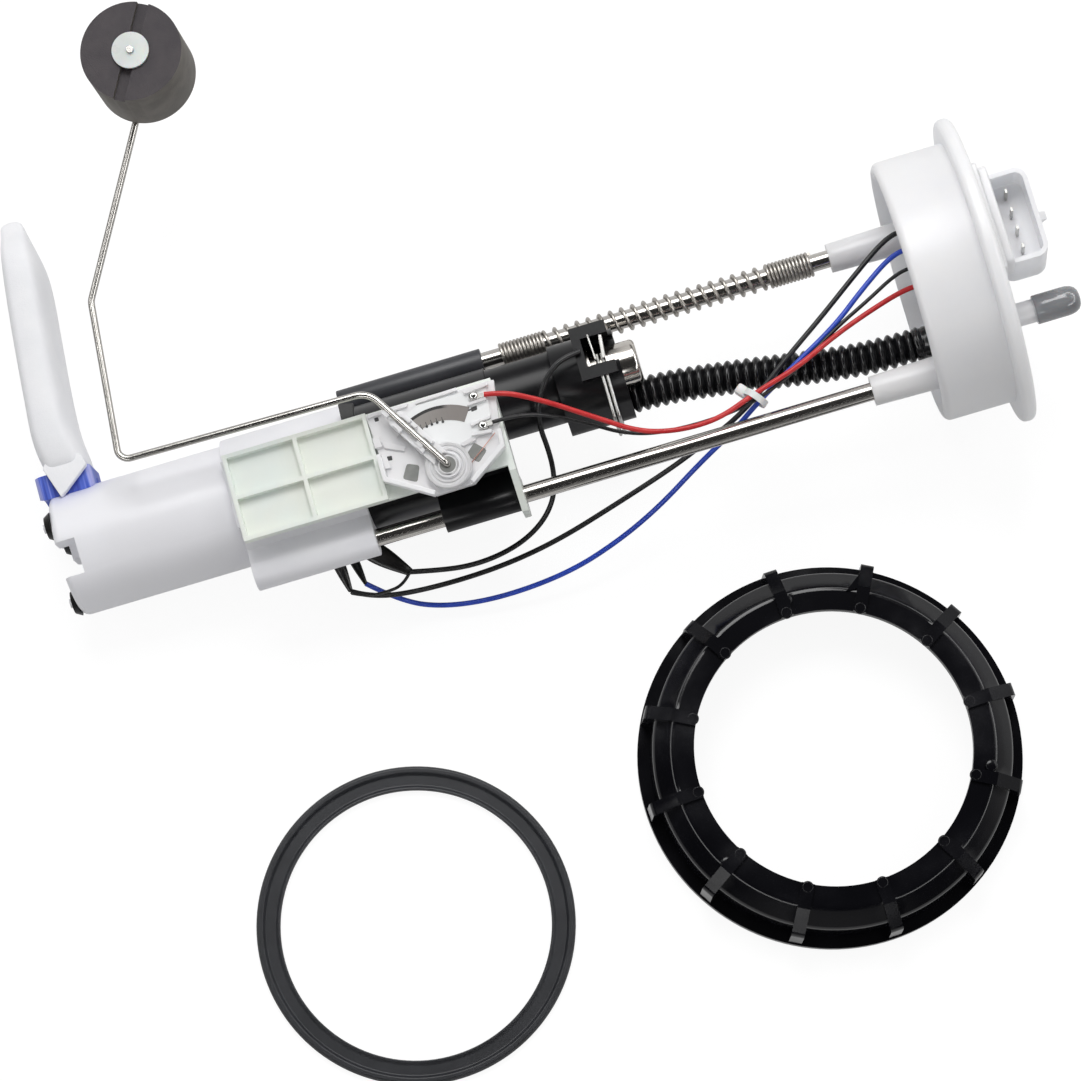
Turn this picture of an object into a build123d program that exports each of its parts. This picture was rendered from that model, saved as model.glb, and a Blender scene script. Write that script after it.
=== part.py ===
from build123d import *
from math import atan, cos, degrees, hypot, pi, radians, sin, tan
import os

# Fuel pump module lying on a bench, with its seal and lock ring flat beside it. Millimetres.
# The module is drawn standing: Z runs up its axis from the flange seat, X points to the side
# where the strainer stands and Y to the side that the level sender faces. It is laid down last.

# Tank flange
rim_radius = 56.0
rim_height = 5.5
rim_round = 2.2
skirt_radius = 47.8
skirt_wall = 3.2
skirt_depth = 26.0
skirt_round = 2.8
boss_length = 48.5
boss_end_radius = 5.3
boss_root_radius = 6.4

# Guide rods, the spring on the upper one and the rings that stop them
rod_radius = 3.175
rod_spread_x = 28.0
rod_spread_y = 10.3
rod_seat = 12.0
slide_fit = 0.05
ring_radius = 4.0
ring_height = 1.0
ring_groove = 0.5
ring_gap = 0.2
spring_low = -172.0
spring_high = -54.3
spring_radius = 4.05
spring_wire = 1.3
spring_turns = 20
spring_closed = 17.0
closed_coils = 12

# Fuel outlet, its vinyl cap and the nipple under it
outlet_x = -19.2
outlet_radius = 4.25
outlet_top = 30.0
outlet_bore = 2.5
outlet_base_radius = 5.8
outlet_base_height = 2.8
cap_low = 15.5
cap_high = 32.1
cap_radius = 5.3
cap_fit = 0.06
nipple_radius = 3.6
nipple_length = 29.0

# Electrical connector, its blades and the plugs under the flange
connector_x = 10.8
connector_pitch = 6.9
connector_pins_count = 4
pad_length = 35.0
pad_width = 20.0
pad_height = 3.4
socket_length = 33.4
socket_height = 16.6
socket_low = 8.6
socket_back = -5.0
socket_mouth = 22.0
socket_floor = 7.4
socket_wall = 1.7
socket_round = 4.6
pin_width = 1.5
pin_thick = 0.8
pin_y = 4.6
pin_tip = 18.0
plug_width = 4.6
plug_depth = 5.4
plug_top = -9.0
plug_low = -22.5

# Pump cup, its feet and push nuts
cup_x = -5.0
cup_radius = 22.3
cup_wall = 1.8
cup_top = -231.3
cup_floor = -334.0
floor_thick = 2.0
chamber_radius = 17.5
chamber_top = -322.0
foot_low = -341.6
foot_inner_radius = 11.7
foot_gap_low = -16.7
foot_gap_high = -4.2
foot_round = 2.6
stud_circle = 17.0
stud_radius = 1.7
stud_length = 3.2
nut_radius = 5.3
nut_height = 2.2

# Clamp bracket round the cup, with the eye of the lower rod
bracket_low = -276.7
bracket_wall = 1.8
bracket_fit = 0.08
eye_radius = 6.3
eye_step = -262.0
ring_well = 4.35

# Pump holder, the guide of the lower rod and the tube of the upper rod
holder_top = -178.8
holder_deck = 2.5
spigot_length = 7.5
guide_radius = 5.4
guide_low = -206.5
tube_radius = 4.9
tube_low = -233.0
tube_step = -215.0
neck_x = 3.5
neck_radius = 13.3
neck_wall = 2.0
neck_top = -155.0

# Regulator housing, regulator, clip and hose port
housing_radius = 14.6
housing_y = 1.0
housing_top = -131.0
housing_clear = 9.9
port_x = -6.4
port_y = -5.6
port_radius = 7.6
port_nipple_radius = 3.6
port_nipple_length = 6.0
cradle_low = -145.6
cradle_high = -132.4
cradle_y = 17.2
cradle_top_x = 18.4
cradle_low_x = -1.2
cradle_bar = 4.6
regulator_y = 4.6
regulator_radius = 8.0
regulator_top = -124.4
regulator_neck = 6.6
regulator_flange = 9.6
clip_z = -137.4
clip_width = 2.2
clip_thick = 1.2
clip_half = 14.9
clip_far_x = -19.2
clip_near_x = 7.0

# Corrugated fuel hose
hose_radius = 5.3
hose_bore = 3.7
cuff_radius = 5.8
cuff_length = 13.0
hose_top = -13.0

# Level sender: plate, frame, resistor card, wiper carrier, float wire and float
plate_low = -275.2
plate_split = -222.2
plate_high = -176.4
plate_x_low = -24.7
plate_x_high = 7.4
plate_y_low = 24.35
plate_y_high = 28.8
plate_rim = 1.5
plate_floor = 1.2
shelf_y_low = 24.4
shelf_y_high = 26.4
lug_thick = 2.4
lug_y_low = 15.2
lug_reach = -40.2
frame_y_high = 29.0
frame_wall = 1.6
frame_wall_y = 33.6
card_thick = 0.7
pivot_z = -198.6
pivot_x = -20.2
hub_radius = 8.2
hub_y_low = 30.4
hub_y_high = 33.2
hub_step_y = 34.6
hub_step_radius = 3.9
track_inner = 16.9
track_outer = 22.4
track_start = 56.0
track_end = 124.0
wire_radius = 1.25
wire_y = 36.0
wire_fit = 0.06
knee_z = -218.6
knee_x = 12.5
corner_z = -309.6
corner_x = 14.3
bend_z = -304.7
bend_x = 73.2
float_z = -264.3
float_x = 147.4
float_radius = 18.0
float_low_y = 38.0
float_high_y = 66.8
float_groove = 4.2
float_groove_depth = 2.0
washer_radius = 6.6
washer_thick = 0.9

# Strainer collar and bag
collar_low = -344.6
collar_high = -324.0
collar_x_high = 23.4
collar_half = 11.0
collar_port = 4.0
bag_top_x = 117.0
bag_tab = 5.0
bag_half = 18.5

# Pump inside the cup
can_radius = 19.2
can_wall = 1.2
can_low = chamber_top + 8.0
can_high = -229.0
pump_fit = 0.05
shaft_radius = 2.0
rotor_radius = 11.0
rotor_low = -301.0
rotor_high = -246.0
magnet_inner = 12.2
magnet_gap = 25.0
impeller_radius = 15.0
impeller_height = 2.4
inlet_port_x = 9.5
inlet_port_radius = 2.6
outlet_stub_radius = 4.2
outlet_stub_bore = 2.4
outlet_stub_length = 14.0
end_cap_height = 6.0
brush_x = 6.6
brush_size = (4.0, 3.2, 6.2)
outlet_hose_wall = 2.15

# Lock ring and seal ring, flat on the bench beside the module
lock_x = -94.2
lock_y = -146.2
lock_base_radius = 69.5
lock_base_height = 4.0
lock_wall_radius = 64.5
lock_wall_high = 18.6
lock_rim_bore = 57.6
lock_mouth_radius = 49.8
lock_deck_radius = 58.0
lock_height = 24.5
lock_lip = 3.6
lock_round = 3.0
rib_count = 12
rib_width = 4.7
rib_rise = 1.4
rib_reach = 4.0
rib_start = 3
seal_x = -254.0
seal_y = -164.4
seal_inner = 48.6
seal_width = 8.6
seal_height = 3.2
seal_lip = 1.2
seal_lip_width = 3.2
seal_lip_slope = 0.8
seal_bead_width = 1.6
seal_bead_drop = 0.4

# What follows from those
rod_upper = (cup_x + rod_spread_x, -rod_spread_y)
rod_lower = (cup_x - rod_spread_x, rod_spread_y)
rod_bore = rod_radius + slide_fit
cup_bore = cup_radius - cup_wall
socket_z = socket_low + socket_height / 2
tilt = atan((rim_radius - cup_radius) / -foot_low)
flange_lift = rim_radius * cos(tilt)
lying = Location(
    Plane(
        origin=(0, 0, flange_lift),
        x_dir=(0, 1, 0),
        z_dir=(cos(tilt), 0, sin(tilt)),
    )
)
upright = (Align.CENTER, Align.CENTER, Align.MIN)
pieces = []
cords = []


def facing(y):
    # A sketch plane that faces the sender side: its x runs up the module, its y along X.
    return Plane(origin=(0, y, 0), x_dir=(0, 0, 1), z_dir=(0, 1, 0))


def level(z):
    return Plane.XY.offset(z)


def keep(piece, name, place=lying):
    solid = piece.part.moved(place)
    solid.label = name
    pieces.append(solid)


# Connector blades: each one bends from its mouth down through the flange into its plug
pin_places = [
    connector_x + connector_pitch * (i - (connector_pins_count - 1) / 2)
    for i in range(connector_pins_count)
]
with BuildPart() as connector_pins:
    for x in pin_places:
        with BuildSketch(Plane.YZ.offset(x - pin_width / 2)):
            with BuildLine():
                Polyline(
                    (pin_tip, socket_z - pin_thick / 2),
                    (pin_tip, socket_z + pin_thick / 2),
                    (pin_y - pin_thick / 2, socket_z + pin_thick / 2),
                    (pin_y - pin_thick / 2, plug_top - 5),
                    (pin_y + pin_thick / 2, plug_top - 5),
                    (pin_y + pin_thick / 2, socket_z - pin_thick / 2),
                    close=True,
                )
            make_face()
        extrude(amount=pin_width)
keep(connector_pins, "connector_pins")

with BuildPart() as terminal_plugs:
    with BuildSketch(level(plug_low)):
        with Locations(*[(x, pin_y) for x in pin_places]):
            RectangleRounded(plug_width, plug_depth, 0.8)
    extrude(amount=plug_top - plug_low)
    add(connector_pins.part, mode=Mode.SUBTRACT)
keep(terminal_plugs, "terminal_plugs")

# Flange: rim, hollow skirt, rod bosses, connector socket, outlet pipe and hose nipple
with BuildPart() as flange:
    Cylinder(rim_radius, rim_height, align=upright)
    fillet(flange.edges().filter_by(GeomType.CIRCLE), rim_round)
    with BuildSketch():
        Circle(skirt_radius)
    extrude(amount=-skirt_depth)
    fillet(flange.edges().group_by(Axis.Z)[0], skirt_round)
    with BuildSketch(level(-skirt_depth)):
        Circle(skirt_radius - skirt_wall)
    extrude(amount=skirt_depth, mode=Mode.SUBTRACT)
    with Locations((*rod_upper, -boss_length), (*rod_lower, -boss_length)):
        Cone(boss_end_radius, boss_root_radius, boss_length, align=upright)
    with Locations((*rod_upper, -boss_length), (*rod_lower, -boss_length)):
        Cylinder(rod_bore, boss_length - rod_seat, align=upright, mode=Mode.SUBTRACT)
    with BuildSketch(level(rim_height)):
        with Locations((connector_x, (socket_back + socket_mouth) / 2 - 6)):
            RectangleRounded(pad_length, pad_width, 3)
    extrude(amount=pad_height)
    with BuildSketch(facing(socket_back)):
        with Locations((socket_z, connector_x)):
            RectangleRounded(socket_height, socket_length, socket_round)
    extrude(amount=socket_mouth - socket_back)
    with BuildSketch(facing(socket_floor)):
        with Locations((socket_z, connector_x)):
            RectangleRounded(
                socket_height - 2 * socket_wall,
                socket_length - 2 * socket_wall,
                socket_round - socket_wall,
            )
    extrude(amount=socket_mouth - socket_floor, mode=Mode.SUBTRACT)
    # Latch nub on the socket's outer wall
    with BuildSketch(Plane.YZ.offset(connector_x - 4)):
        with BuildLine():
            Polyline(
                (socket_mouth - 1, socket_low + socket_height),
                (socket_mouth - 3, socket_low + socket_height + 2.4),
                (socket_mouth - 7, socket_low + socket_height),
                close=True,
            )
        make_face()
    extrude(amount=3)
    # Outlet pipe above the deck and hose nipple below it, on one bore
    with Locations((outlet_x, 0, rim_height)):
        Cylinder(outlet_base_radius, outlet_base_height, align=upright)
        Cylinder(outlet_radius, outlet_top - rim_height, align=upright)
    with Locations((outlet_x, 0, -nipple_length)):
        Cylinder(nipple_radius, nipple_length, align=upright)
        Cylinder(
            outlet_bore, nipple_length + outlet_top, align=upright, mode=Mode.SUBTRACT
        )
    add(connector_pins.part, mode=Mode.SUBTRACT)
keep(flange, "flange")

with BuildPart() as outlet_cap:
    with Locations((outlet_x, 0, cap_low)):
        Cylinder(cap_radius, cap_high - cap_low, align=upright)
    fillet(outlet_cap.edges().group_by(Axis.Z)[-1], cap_radius - 1.4)
    with Locations((outlet_x, 0, cap_low)):
        Cylinder(
            outlet_radius + cap_fit,
            outlet_top + 0.3 - cap_low,
            align=upright,
            mode=Mode.SUBTRACT,
        )
keep(outlet_cap, "outlet_cap")

# Guide rods with a groove for the ring that stops the carriage at full length
ring_tops = {"upper": tube_step - ring_gap, "lower": eye_step - ring_gap}
for name, (x, y) in {"upper": rod_upper, "lower": rod_lower}.items():
    ring_low = ring_tops[name] - ring_height
    rod_low = ring_low - 3.0
    with BuildPart() as guide_rod:
        with Locations((x, y, rod_low)):
            Cylinder(rod_radius, -rod_seat - rod_low, align=upright)
        chamfer(guide_rod.edges().group_by(Axis.Z)[0], 0.6)
        with BuildSketch(level(ring_low)):
            with Locations((x, y)):
                Circle(rod_radius + 1)
                Circle(rod_radius - ring_groove, mode=Mode.SUBTRACT)
        extrude(amount=ring_height, mode=Mode.SUBTRACT)
    keep(guide_rod, name + "_guide_rod")

with BuildPart() as rod_rings:
    for name, (x, y) in {"upper": rod_upper, "lower": rod_lower}.items():
        with BuildSketch(level(ring_tops[name] - ring_height)):
            with Locations((x, y)):
                Circle(ring_radius)
                Circle(rod_radius - ring_groove + slide_fit, mode=Mode.SUBTRACT)
        extrude(amount=ring_height)
keep(rod_rings, "rod_rings")

# Return spring: open coils between two closed stretches
open_low = spring_low + spring_closed
open_high = spring_high - spring_closed
with BuildPart() as return_spring:
    with BuildLine(Plane(origin=(*rod_upper, open_low))):
        coil = Helix(
            pitch=(open_high - open_low) / spring_turns,
            height=open_high - open_low,
            radius=spring_radius,
        )
    with BuildSketch(Plane(origin=coil @ 0, z_dir=coil % 0)):
        RegularPolygon(spring_wire / 2, 6)
    sweep(path=coil, is_frenet=True)
    coil_pitch = spring_closed / closed_coils
    for low in (spring_low, open_high):
        with BuildSketch(Plane.XZ.offset(-rod_upper[1])):
            with BuildLine():
                outer = [
                    (
                        rod_upper[0] + spring_radius + spring_wire / 2 * (1 - 0.4 * (i % 2)),
                        low + coil_pitch * i / 2,
                    )
                    for i in range(2 * closed_coils + 1)
                ]
                inner_x = rod_upper[0] + spring_radius - spring_wire / 2
                Polyline(
                    *outer, (inner_x, low + spring_closed), (inner_x, low), close=True
                )
            make_face()
        revolve(axis=Axis((*rod_upper, 0), (0, 0, 1)))
keep(return_spring, "return_spring")

# Pump cup with its end chamber, feet and push-nut studs
stud_places = [
    (cup_x + stud_circle * cos(radians(a)), stud_circle * sin(radians(a)))
    for a in (60, 180, 300)
]
strainer_port_z = cup_floor + floor_thick + collar_port + 0.5
with BuildPart() as pump_cup:
    with Locations((cup_x, 0, foot_low)):
        Cylinder(cup_radius, cup_top - foot_low, align=upright)
    fillet(pump_cup.edges().group_by(Axis.Z)[0], foot_round)
    with Locations((cup_x, 0, chamber_top)):
        Cylinder(cup_bore, cup_top - chamber_top, align=upright, mode=Mode.SUBTRACT)
    with Locations((cup_x, 0, cup_floor + floor_thick)):
        Cylinder(
            chamber_radius,
            chamber_top - cup_floor - floor_thick,
            align=upright,
            mode=Mode.SUBTRACT,
        )
    # The channel across the end leaves two feet, hollow in the middle
    with BuildSketch(level(foot_low)):
        with Locations((cup_x, 0)):
            Circle(foot_inner_radius)
        with Locations(((foot_gap_low + foot_gap_high) / 2, 0)):
            Rectangle(foot_gap_high - foot_gap_low, 3 * cup_radius)
    extrude(amount=cup_floor - foot_low, mode=Mode.SUBTRACT)
    with Locations(*[(x, y, foot_low - stud_length) for x, y in stud_places]):
        Cylinder(stud_radius, stud_length + 1, align=upright)
    with BuildSketch(Plane.YZ.offset(cup_x + chamber_radius - 2)):
        with Locations((0, strainer_port_z)):
            Circle(collar_port)
    extrude(amount=cup_radius, mode=Mode.SUBTRACT)
keep(pump_cup, "pump_cup")

with BuildPart() as push_nuts:
    with Locations(*[(x, y, foot_low - nut_height) for x, y in stud_places]):
        Cone(nut_radius - 1.3, nut_radius, nut_height, align=upright)
        Cylinder(stud_radius + slide_fit, nut_height, align=upright, mode=Mode.SUBTRACT)
keep(push_nuts, "push_nuts")

# Clamp bracket: a band round the cup, a flat for the sender plate and the lower rod's eye
lug_root = (cup_x + (rod_lower[0] - cup_x) * 0.7, rod_lower[1] * 0.7)
with BuildSketch() as eye:
    with Locations(rod_lower, lug_root):
        Circle(eye_radius)
    make_hull()
with BuildPart() as clamp_bracket:
    with BuildSketch(level(bracket_low)):
        with Locations((cup_x, 0)):
            Circle(cup_radius + bracket_wall + bracket_fit)
        add(eye.sketch)
        with Locations((cup_x - 1, plate_y_low / 2)):
            Rectangle(25, plate_y_low)
        with Locations((cup_x, 0)):
            Circle(cup_radius + bracket_fit, mode=Mode.SUBTRACT)
    extrude(amount=cup_top - bracket_low)
    with Locations((*rod_lower, bracket_low)):
        Cylinder(rod_bore, cup_top - bracket_low, align=upright, mode=Mode.SUBTRACT)
        Cylinder(ring_well, eye_step - bracket_low, align=upright, mode=Mode.SUBTRACT)
keep(clamp_bracket, "clamp_bracket")

# Pump holder: shell above the cup, lower rod guide, cradle of the upper tube and neck
with BuildPart() as pump_holder:
    with BuildSketch(level(cup_top)):
        with Locations((cup_x, 0)):
            Circle(cup_radius)
    extrude(amount=holder_top - cup_top)
    with BuildSketch(level(guide_low)):
        with Locations(rod_lower, lug_root):
            Circle(guide_radius)
        make_hull()
    extrude(amount=holder_top - guide_low)
    saddle_angle = degrees(atan(-rod_spread_y / rod_spread_x))
    with BuildSketch(level(cup_top)):
        with Locations(Location((cup_x, 0, 0), (0, 0, saddle_angle))):
            with Locations((cup_radius, 0)):
                Rectangle(9, 5)
    extrude(amount=holder_top - cup_top)
    with Locations((neck_x, 0, holder_top)):
        Cylinder(neck_radius, neck_top - holder_top, align=upright)
    # Hollow body and neck, with a spigot that drops into the cup
    with Locations((cup_x, 0, cup_top - spigot_length)):
        Cylinder(cup_bore - slide_fit, spigot_length, align=upright)
        Cylinder(
            can_radius + 0.2,
            holder_top - holder_deck - cup_top + spigot_length,
            align=upright,
            mode=Mode.SUBTRACT,
        )
    with Locations((neck_x, 0, holder_top - holder_deck)):
        Cylinder(
            neck_radius - neck_wall,
            neck_top - holder_top + holder_deck,
            align=upright,
            mode=Mode.SUBTRACT,
        )
    with Locations((*rod_lower, guide_low)):
        Cylinder(rod_bore, holder_top - guide_low, align=upright, mode=Mode.SUBTRACT)
    with Locations((*rod_upper, tube_low)):
        Cylinder(
            tube_radius + slide_fit, holder_top - tube_low, align=upright, mode=Mode.SUBTRACT
        )
keep(pump_holder, "pump_holder")

with BuildPart() as upper_rod_tube:
    with Locations((*rod_upper, tube_low)):
        Cylinder(tube_radius, holder_top - tube_low, align=upright)
        Cylinder(rod_bore, holder_top - tube_low, align=upright, mode=Mode.SUBTRACT)
        Cylinder(ring_well, tube_step - tube_low, align=upright, mode=Mode.SUBTRACT)
keep(upper_rod_tube, "upper_rod_tube")

# Regulator housing: a stepped pot with the hose port beside it and the clip's cradle
with BuildPart() as regulator_housing:
    with BuildSketch(level(neck_top)):
        with Locations((neck_x, housing_y)):
            Circle(housing_radius)
        with Locations((port_x, port_y)):
            Circle(port_radius)
        make_hull()
    extrude(amount=housing_top - neck_top)
    with BuildSketch(level(cradle_low)):
        with Locations(((cradle_top_x + cradle_low_x) / 2, cradle_y / 2)):
            Rectangle(cradle_top_x - cradle_low_x, cradle_y)
    extrude(amount=cradle_high - cradle_low)
    # Pocket of the regulator, open at the top and seen through the cradle's window
    with Locations((neck_x, regulator_y, clip_z - 5.4)):
        Cylinder(housing_clear, housing_top - clip_z + 5.4, align=upright, mode=Mode.SUBTRACT)
    with Locations((neck_x, regulator_y, neck_top)):
        Cylinder(regulator_neck, 20, align=upright, mode=Mode.SUBTRACT)
    with BuildSketch(level(cradle_low + 3.2)):
        with Locations(((cradle_top_x + cradle_low_x) / 2, cradle_y)):
            Rectangle(cradle_top_x - cradle_low_x - 2 * cradle_bar, cradle_y)
    extrude(amount=cradle_high - cradle_low, mode=Mode.SUBTRACT)
    with Locations((port_x, port_y, housing_top)):
        Cylinder(port_nipple_radius, port_nipple_length, align=upright)
    with Locations((port_x, port_y, neck_top + 4)):
        Cylinder(outlet_bore, 60, align=upright, mode=Mode.SUBTRACT)
    # Slot for the clip's legs
    with BuildSketch(level(clip_z - clip_width / 2 - 0.1)):
        for side in (-1, 1):
            with Locations((neck_x, housing_y + side * clip_half)):
                Rectangle(80, clip_thick + 0.2)
    extrude(amount=clip_width + 0.2, mode=Mode.SUBTRACT)
keep(regulator_housing, "regulator_housing")

with BuildPart() as pressure_regulator:
    with Locations((neck_x, regulator_y, clip_z + 1.4)):
        Cylinder(regulator_radius, regulator_top - clip_z - 1.4, align=upright)
    fillet(pressure_regulator.edges().group_by(Axis.Z)[-1], 1.8)
    with Locations((neck_x, regulator_y, clip_z - 5.0)):
        Cylinder(regulator_flange, 1.0, align=upright)
        Cylinder(regulator_radius - 1, 6.6, align=upright)
    with Locations((neck_x, regulator_y, clip_z - 12)):
        Cylinder(regulator_neck - 1.6, 8, align=upright)
    with Locations((neck_x, regulator_y, clip_z + 1.2)):
        Cylinder(regulator_flange, 1.0, align=upright)
keep(pressure_regulator, "pressure_regulator")

with BuildPart() as regulator_seal:
    with BuildSketch(level(clip_z - 9.6)):
        with Locations((neck_x, regulator_y)):
            Circle(regulator_neck)
            Circle(regulator_neck - 1.6, mode=Mode.SUBTRACT)
    extrude(amount=1.5)
keep(regulator_seal, "regulator_seal")

with BuildPart() as regulator_clip:
    with BuildLine():
        clip_path = Polyline(
            (clip_near_x, housing_y + clip_half, clip_z),
            (clip_far_x + 2, housing_y + clip_half, clip_z),
            (clip_far_x, housing_y + clip_half - 2, clip_z),
            (clip_far_x, housing_y - clip_half + 2, clip_z),
            (clip_far_x + 2, housing_y - clip_half, clip_z),
            (clip_near_x, housing_y - clip_half, clip_z),
        )
    with BuildSketch(Plane(origin=clip_path @ 0, x_dir=(0, 1, 0), z_dir=clip_path % 0)):
        Rectangle(clip_thick, clip_width)
    sweep(path=clip_path, transition=Transition.RIGHT)
keep(regulator_clip, "regulator_clip")

# Fuel hose from the housing's port to the nipple under the flange, with a plain cuff there
hose_route = [
    (port_x, port_y, housing_top + 0.05),
    (port_x, port_y, -118.0),
    (-11.6, -2.6, -88.0),
    (-17.0, -0.6, -60.0),
    (outlet_x, 0, -40.0),
    (outlet_x, 0, hose_top),
]


def run_radii(points):
    # Each corner's arc is as large as its two runs allow.
    radii = []
    for a, b, c in zip(points, points[1:], points[2:]):
        first, second = Vector(*b) - Vector(*a), Vector(*c) - Vector(*b)
        turn = radians(first.get_angle(second))
        radii.append(0.45 * min(first.length, second.length) / tan(turn / 2))
    return radii


def tube(points, radius, bore=0.0):
    radii = run_radii(points)
    with BuildPart() as made:
        with BuildLine():
            path = FilletPolyline(*points, radius=radii)
        with BuildSketch(Plane(origin=path @ 0, z_dir=path % 0)):
            Circle(radius)
            if bore:
                Circle(bore, mode=Mode.SUBTRACT)
        sweep(path=path)
    length = path.length
    share = made.part.volume / ((radius**2 - bore**2) * pi * length)
    print(f"  tube {length:.1f} mm, volume ratio {share:.4f}, least radius {min(radii):.1f}")
    return made


hose = tube(hose_route, hose_radius, hose_bore)
with BuildPart() as fuel_hose:
    add(hose.part)
    with Locations((outlet_x, 0, hose_top - cuff_length)):
        Cylinder(cuff_radius, cuff_length, align=upright)
        Cylinder(hose_bore, cuff_length, align=upright, mode=Mode.SUBTRACT)
keep(fuel_hose, "fuel_hose")

# Sender plate: tray with four cells, shelf under the frame and a lug round the lower rod
with BuildPart() as sender_plate:
    with BuildSketch(facing(plate_y_low)):
        with Locations(((plate_low + plate_split) / 2, (plate_x_low + plate_x_high) / 2)):
            Rectangle(plate_split - plate_low, plate_x_high - plate_x_low)
    extrude(amount=plate_y_high - plate_y_low)
    cell_length = (plate_split - plate_low - 3 * plate_rim) / 2
    cell_width = (plate_x_high - plate_x_low - 3 * plate_rim) / 2
    with BuildSketch(facing(plate_y_low + plate_floor)):
        with Locations(((plate_low + plate_split) / 2, (plate_x_low + plate_x_high) / 2)):
            with GridLocations(cell_length + plate_rim, cell_width + plate_rim, 2, 2):
                Rectangle(cell_length, cell_width)
    extrude(amount=plate_y_high - plate_y_low, mode=Mode.SUBTRACT)
    with BuildSketch(facing(shelf_y_low)):
        with Locations(((plate_split + plate_high) / 2, (plate_x_low + plate_x_high) / 2)):
            Rectangle(plate_high - plate_split, plate_x_high - plate_x_low)
    extrude(amount=shelf_y_high - shelf_y_low)
    with BuildSketch(level(plate_high - lug_thick)):
        with BuildLine():
            Polyline(
                (plate_x_high, shelf_y_high),
                (plate_x_high, lug_y_low),
                (rod_lower[0] + 6.5, lug_y_low),
                (rod_lower[0] + 6.5, rod_lower[1] - 5.5),
                (lug_reach, rod_lower[1] - 5.5),
                (lug_reach, rod_lower[1] + 6.5),
                (plate_x_low - 2, shelf_y_high),
                close=True,
            )
        make_face()
        with Locations(rod_lower):
            Circle(rod_radius + 0.4, mode=Mode.SUBTRACT)
    extrude(amount=lug_thick)
keep(sender_plate, "sender_plate")

# Sender frame: base with the pivot hole and low walls at its lower corners
frame_outline = [
    (plate_split, plate_x_high - 1.0),
    (plate_high + 1.2, plate_x_high - 1.6),
    (plate_high - 1.6, -12.8),
    (plate_high - 2.0, -18.8),
    (pivot_z + 6.6, -28.2),
    (pivot_z - 7.0, -28.4),
    (plate_split + 1.0, -18.6),
    (plate_split + 1.0, -9.3),
]
with BuildPart() as sender_frame:
    with BuildSketch(facing(shelf_y_high)):
        with BuildLine():
            Polyline(*frame_outline, close=True)
        make_face()
    extrude(amount=frame_y_high - shelf_y_high)
    for wall in (frame_outline[2:5], frame_outline[:4:-1]):
        with BuildSketch(facing(frame_y_high)):
            with BuildLine():
                Polyline(*wall)
            trace(line_width=frame_wall)
        extrude(amount=frame_wall_y - frame_y_high)
    with BuildSketch(facing(frame_y_high)):
        with Locations((pivot_z, pivot_x)):
            Circle(hub_step_radius)
    extrude(amount=hub_y_low - 0.3 - frame_y_high)
    with BuildSketch(facing(shelf_y_high)):
        with Locations((pivot_z, pivot_x)):
            Circle(wire_radius + wire_fit)
    extrude(amount=10, mode=Mode.SUBTRACT)
keep(sender_frame, "sender_frame")

with BuildPart() as resistor_card:
    with BuildSketch(facing(frame_y_high)):
        with BuildLine():
            Polyline(
                (pivot_z - 12.4, 1.6),
                (pivot_z - 5.0, 4.6),
                (plate_high - 2.0, 4.2),
                (plate_high - 3.6, -8.6),
                (pivot_z + 9.6, -14.4),
                (pivot_z - 6.6, -13.0),
                close=True,
            )
        make_face()
    extrude(amount=card_thick)
keep(resistor_card, "resistor_card")

with BuildPart() as resistor_track:
    with BuildSketch(facing(frame_y_high + card_thick)):
        with BuildLine():
            for radius in (track_outer, track_inner):
                CenterArc((pivot_z, pivot_x), radius, track_start, track_end - track_start)
            for angle in (track_start, track_end):
                PolarLine(
                    (
                        pivot_z + track_inner * cos(radians(angle)),
                        pivot_x + track_inner * sin(radians(angle)),
                    ),
                    track_outer - track_inner,
                    angle,
                )
        make_face()
    extrude(amount=0.15)
keep(resistor_track, "resistor_track")

rivet_places = [(plate_high - 6.8, 1.0), (plate_high - 6.6, -9.4)]
with BuildPart() as sender_terminals:
    with BuildSketch(facing(frame_y_high + card_thick)):
        with Locations(*rivet_places):
            Circle(1.9)
    extrude(amount=0.9)
    with BuildSketch(facing(frame_y_high + card_thick)):
        with Locations(*[(z + 1.6, x) for z, x in rivet_places]):
            Rectangle(3.4, 1.7)
    extrude(amount=1.6)
keep(sender_terminals, "sender_terminals")

# Wiper carrier on the float wire's pivot end, with an arm that the wire snaps into
arm_reach = hypot(knee_z - pivot_z, knee_x - pivot_x)
arm_z, arm_x = (knee_z - pivot_z) / arm_reach, (knee_x - pivot_x) / arm_reach
arm_angle = degrees(atan(arm_x / arm_z)) + 180
with BuildPart() as wiper_carrier:
    with BuildSketch(facing(hub_y_low)):
        with Locations((pivot_z, pivot_x)):
            Circle(hub_radius)
    extrude(amount=hub_y_high - hub_y_low)
    with BuildSketch(facing(hub_y_high)):
        with Locations((pivot_z, pivot_x)):
            Circle(hub_step_radius)
    extrude(amount=hub_step_y - hub_y_high)
    with BuildSketch(facing(hub_y_low)):
        with Locations(Location((pivot_z + 14 * arm_z, pivot_x + 14 * arm_x, 0), (0, 0, arm_angle))):
            RectangleRounded(24, 6.4, 1.2)
    extrude(amount=hub_step_y - hub_y_low)
    with BuildSketch(facing(hub_step_y)):
        for along in (11.0, 22.0):
            with Locations(
                Location((pivot_z + along * arm_z, pivot_x + along * arm_x, 0), (0, 0, arm_angle))
            ):
                with Locations((0, -2.2), (0, 2.2)):
                    Rectangle(4.0, 1.4)
    extrude(amount=2.0)
    with BuildSketch(facing(hub_y_low - 1)):
        with Locations((pivot_z, pivot_x)):
            Circle(wire_radius + 0.02)
    extrude(amount=8, mode=Mode.SUBTRACT)
keep(wiper_carrier, "wiper_carrier")

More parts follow.
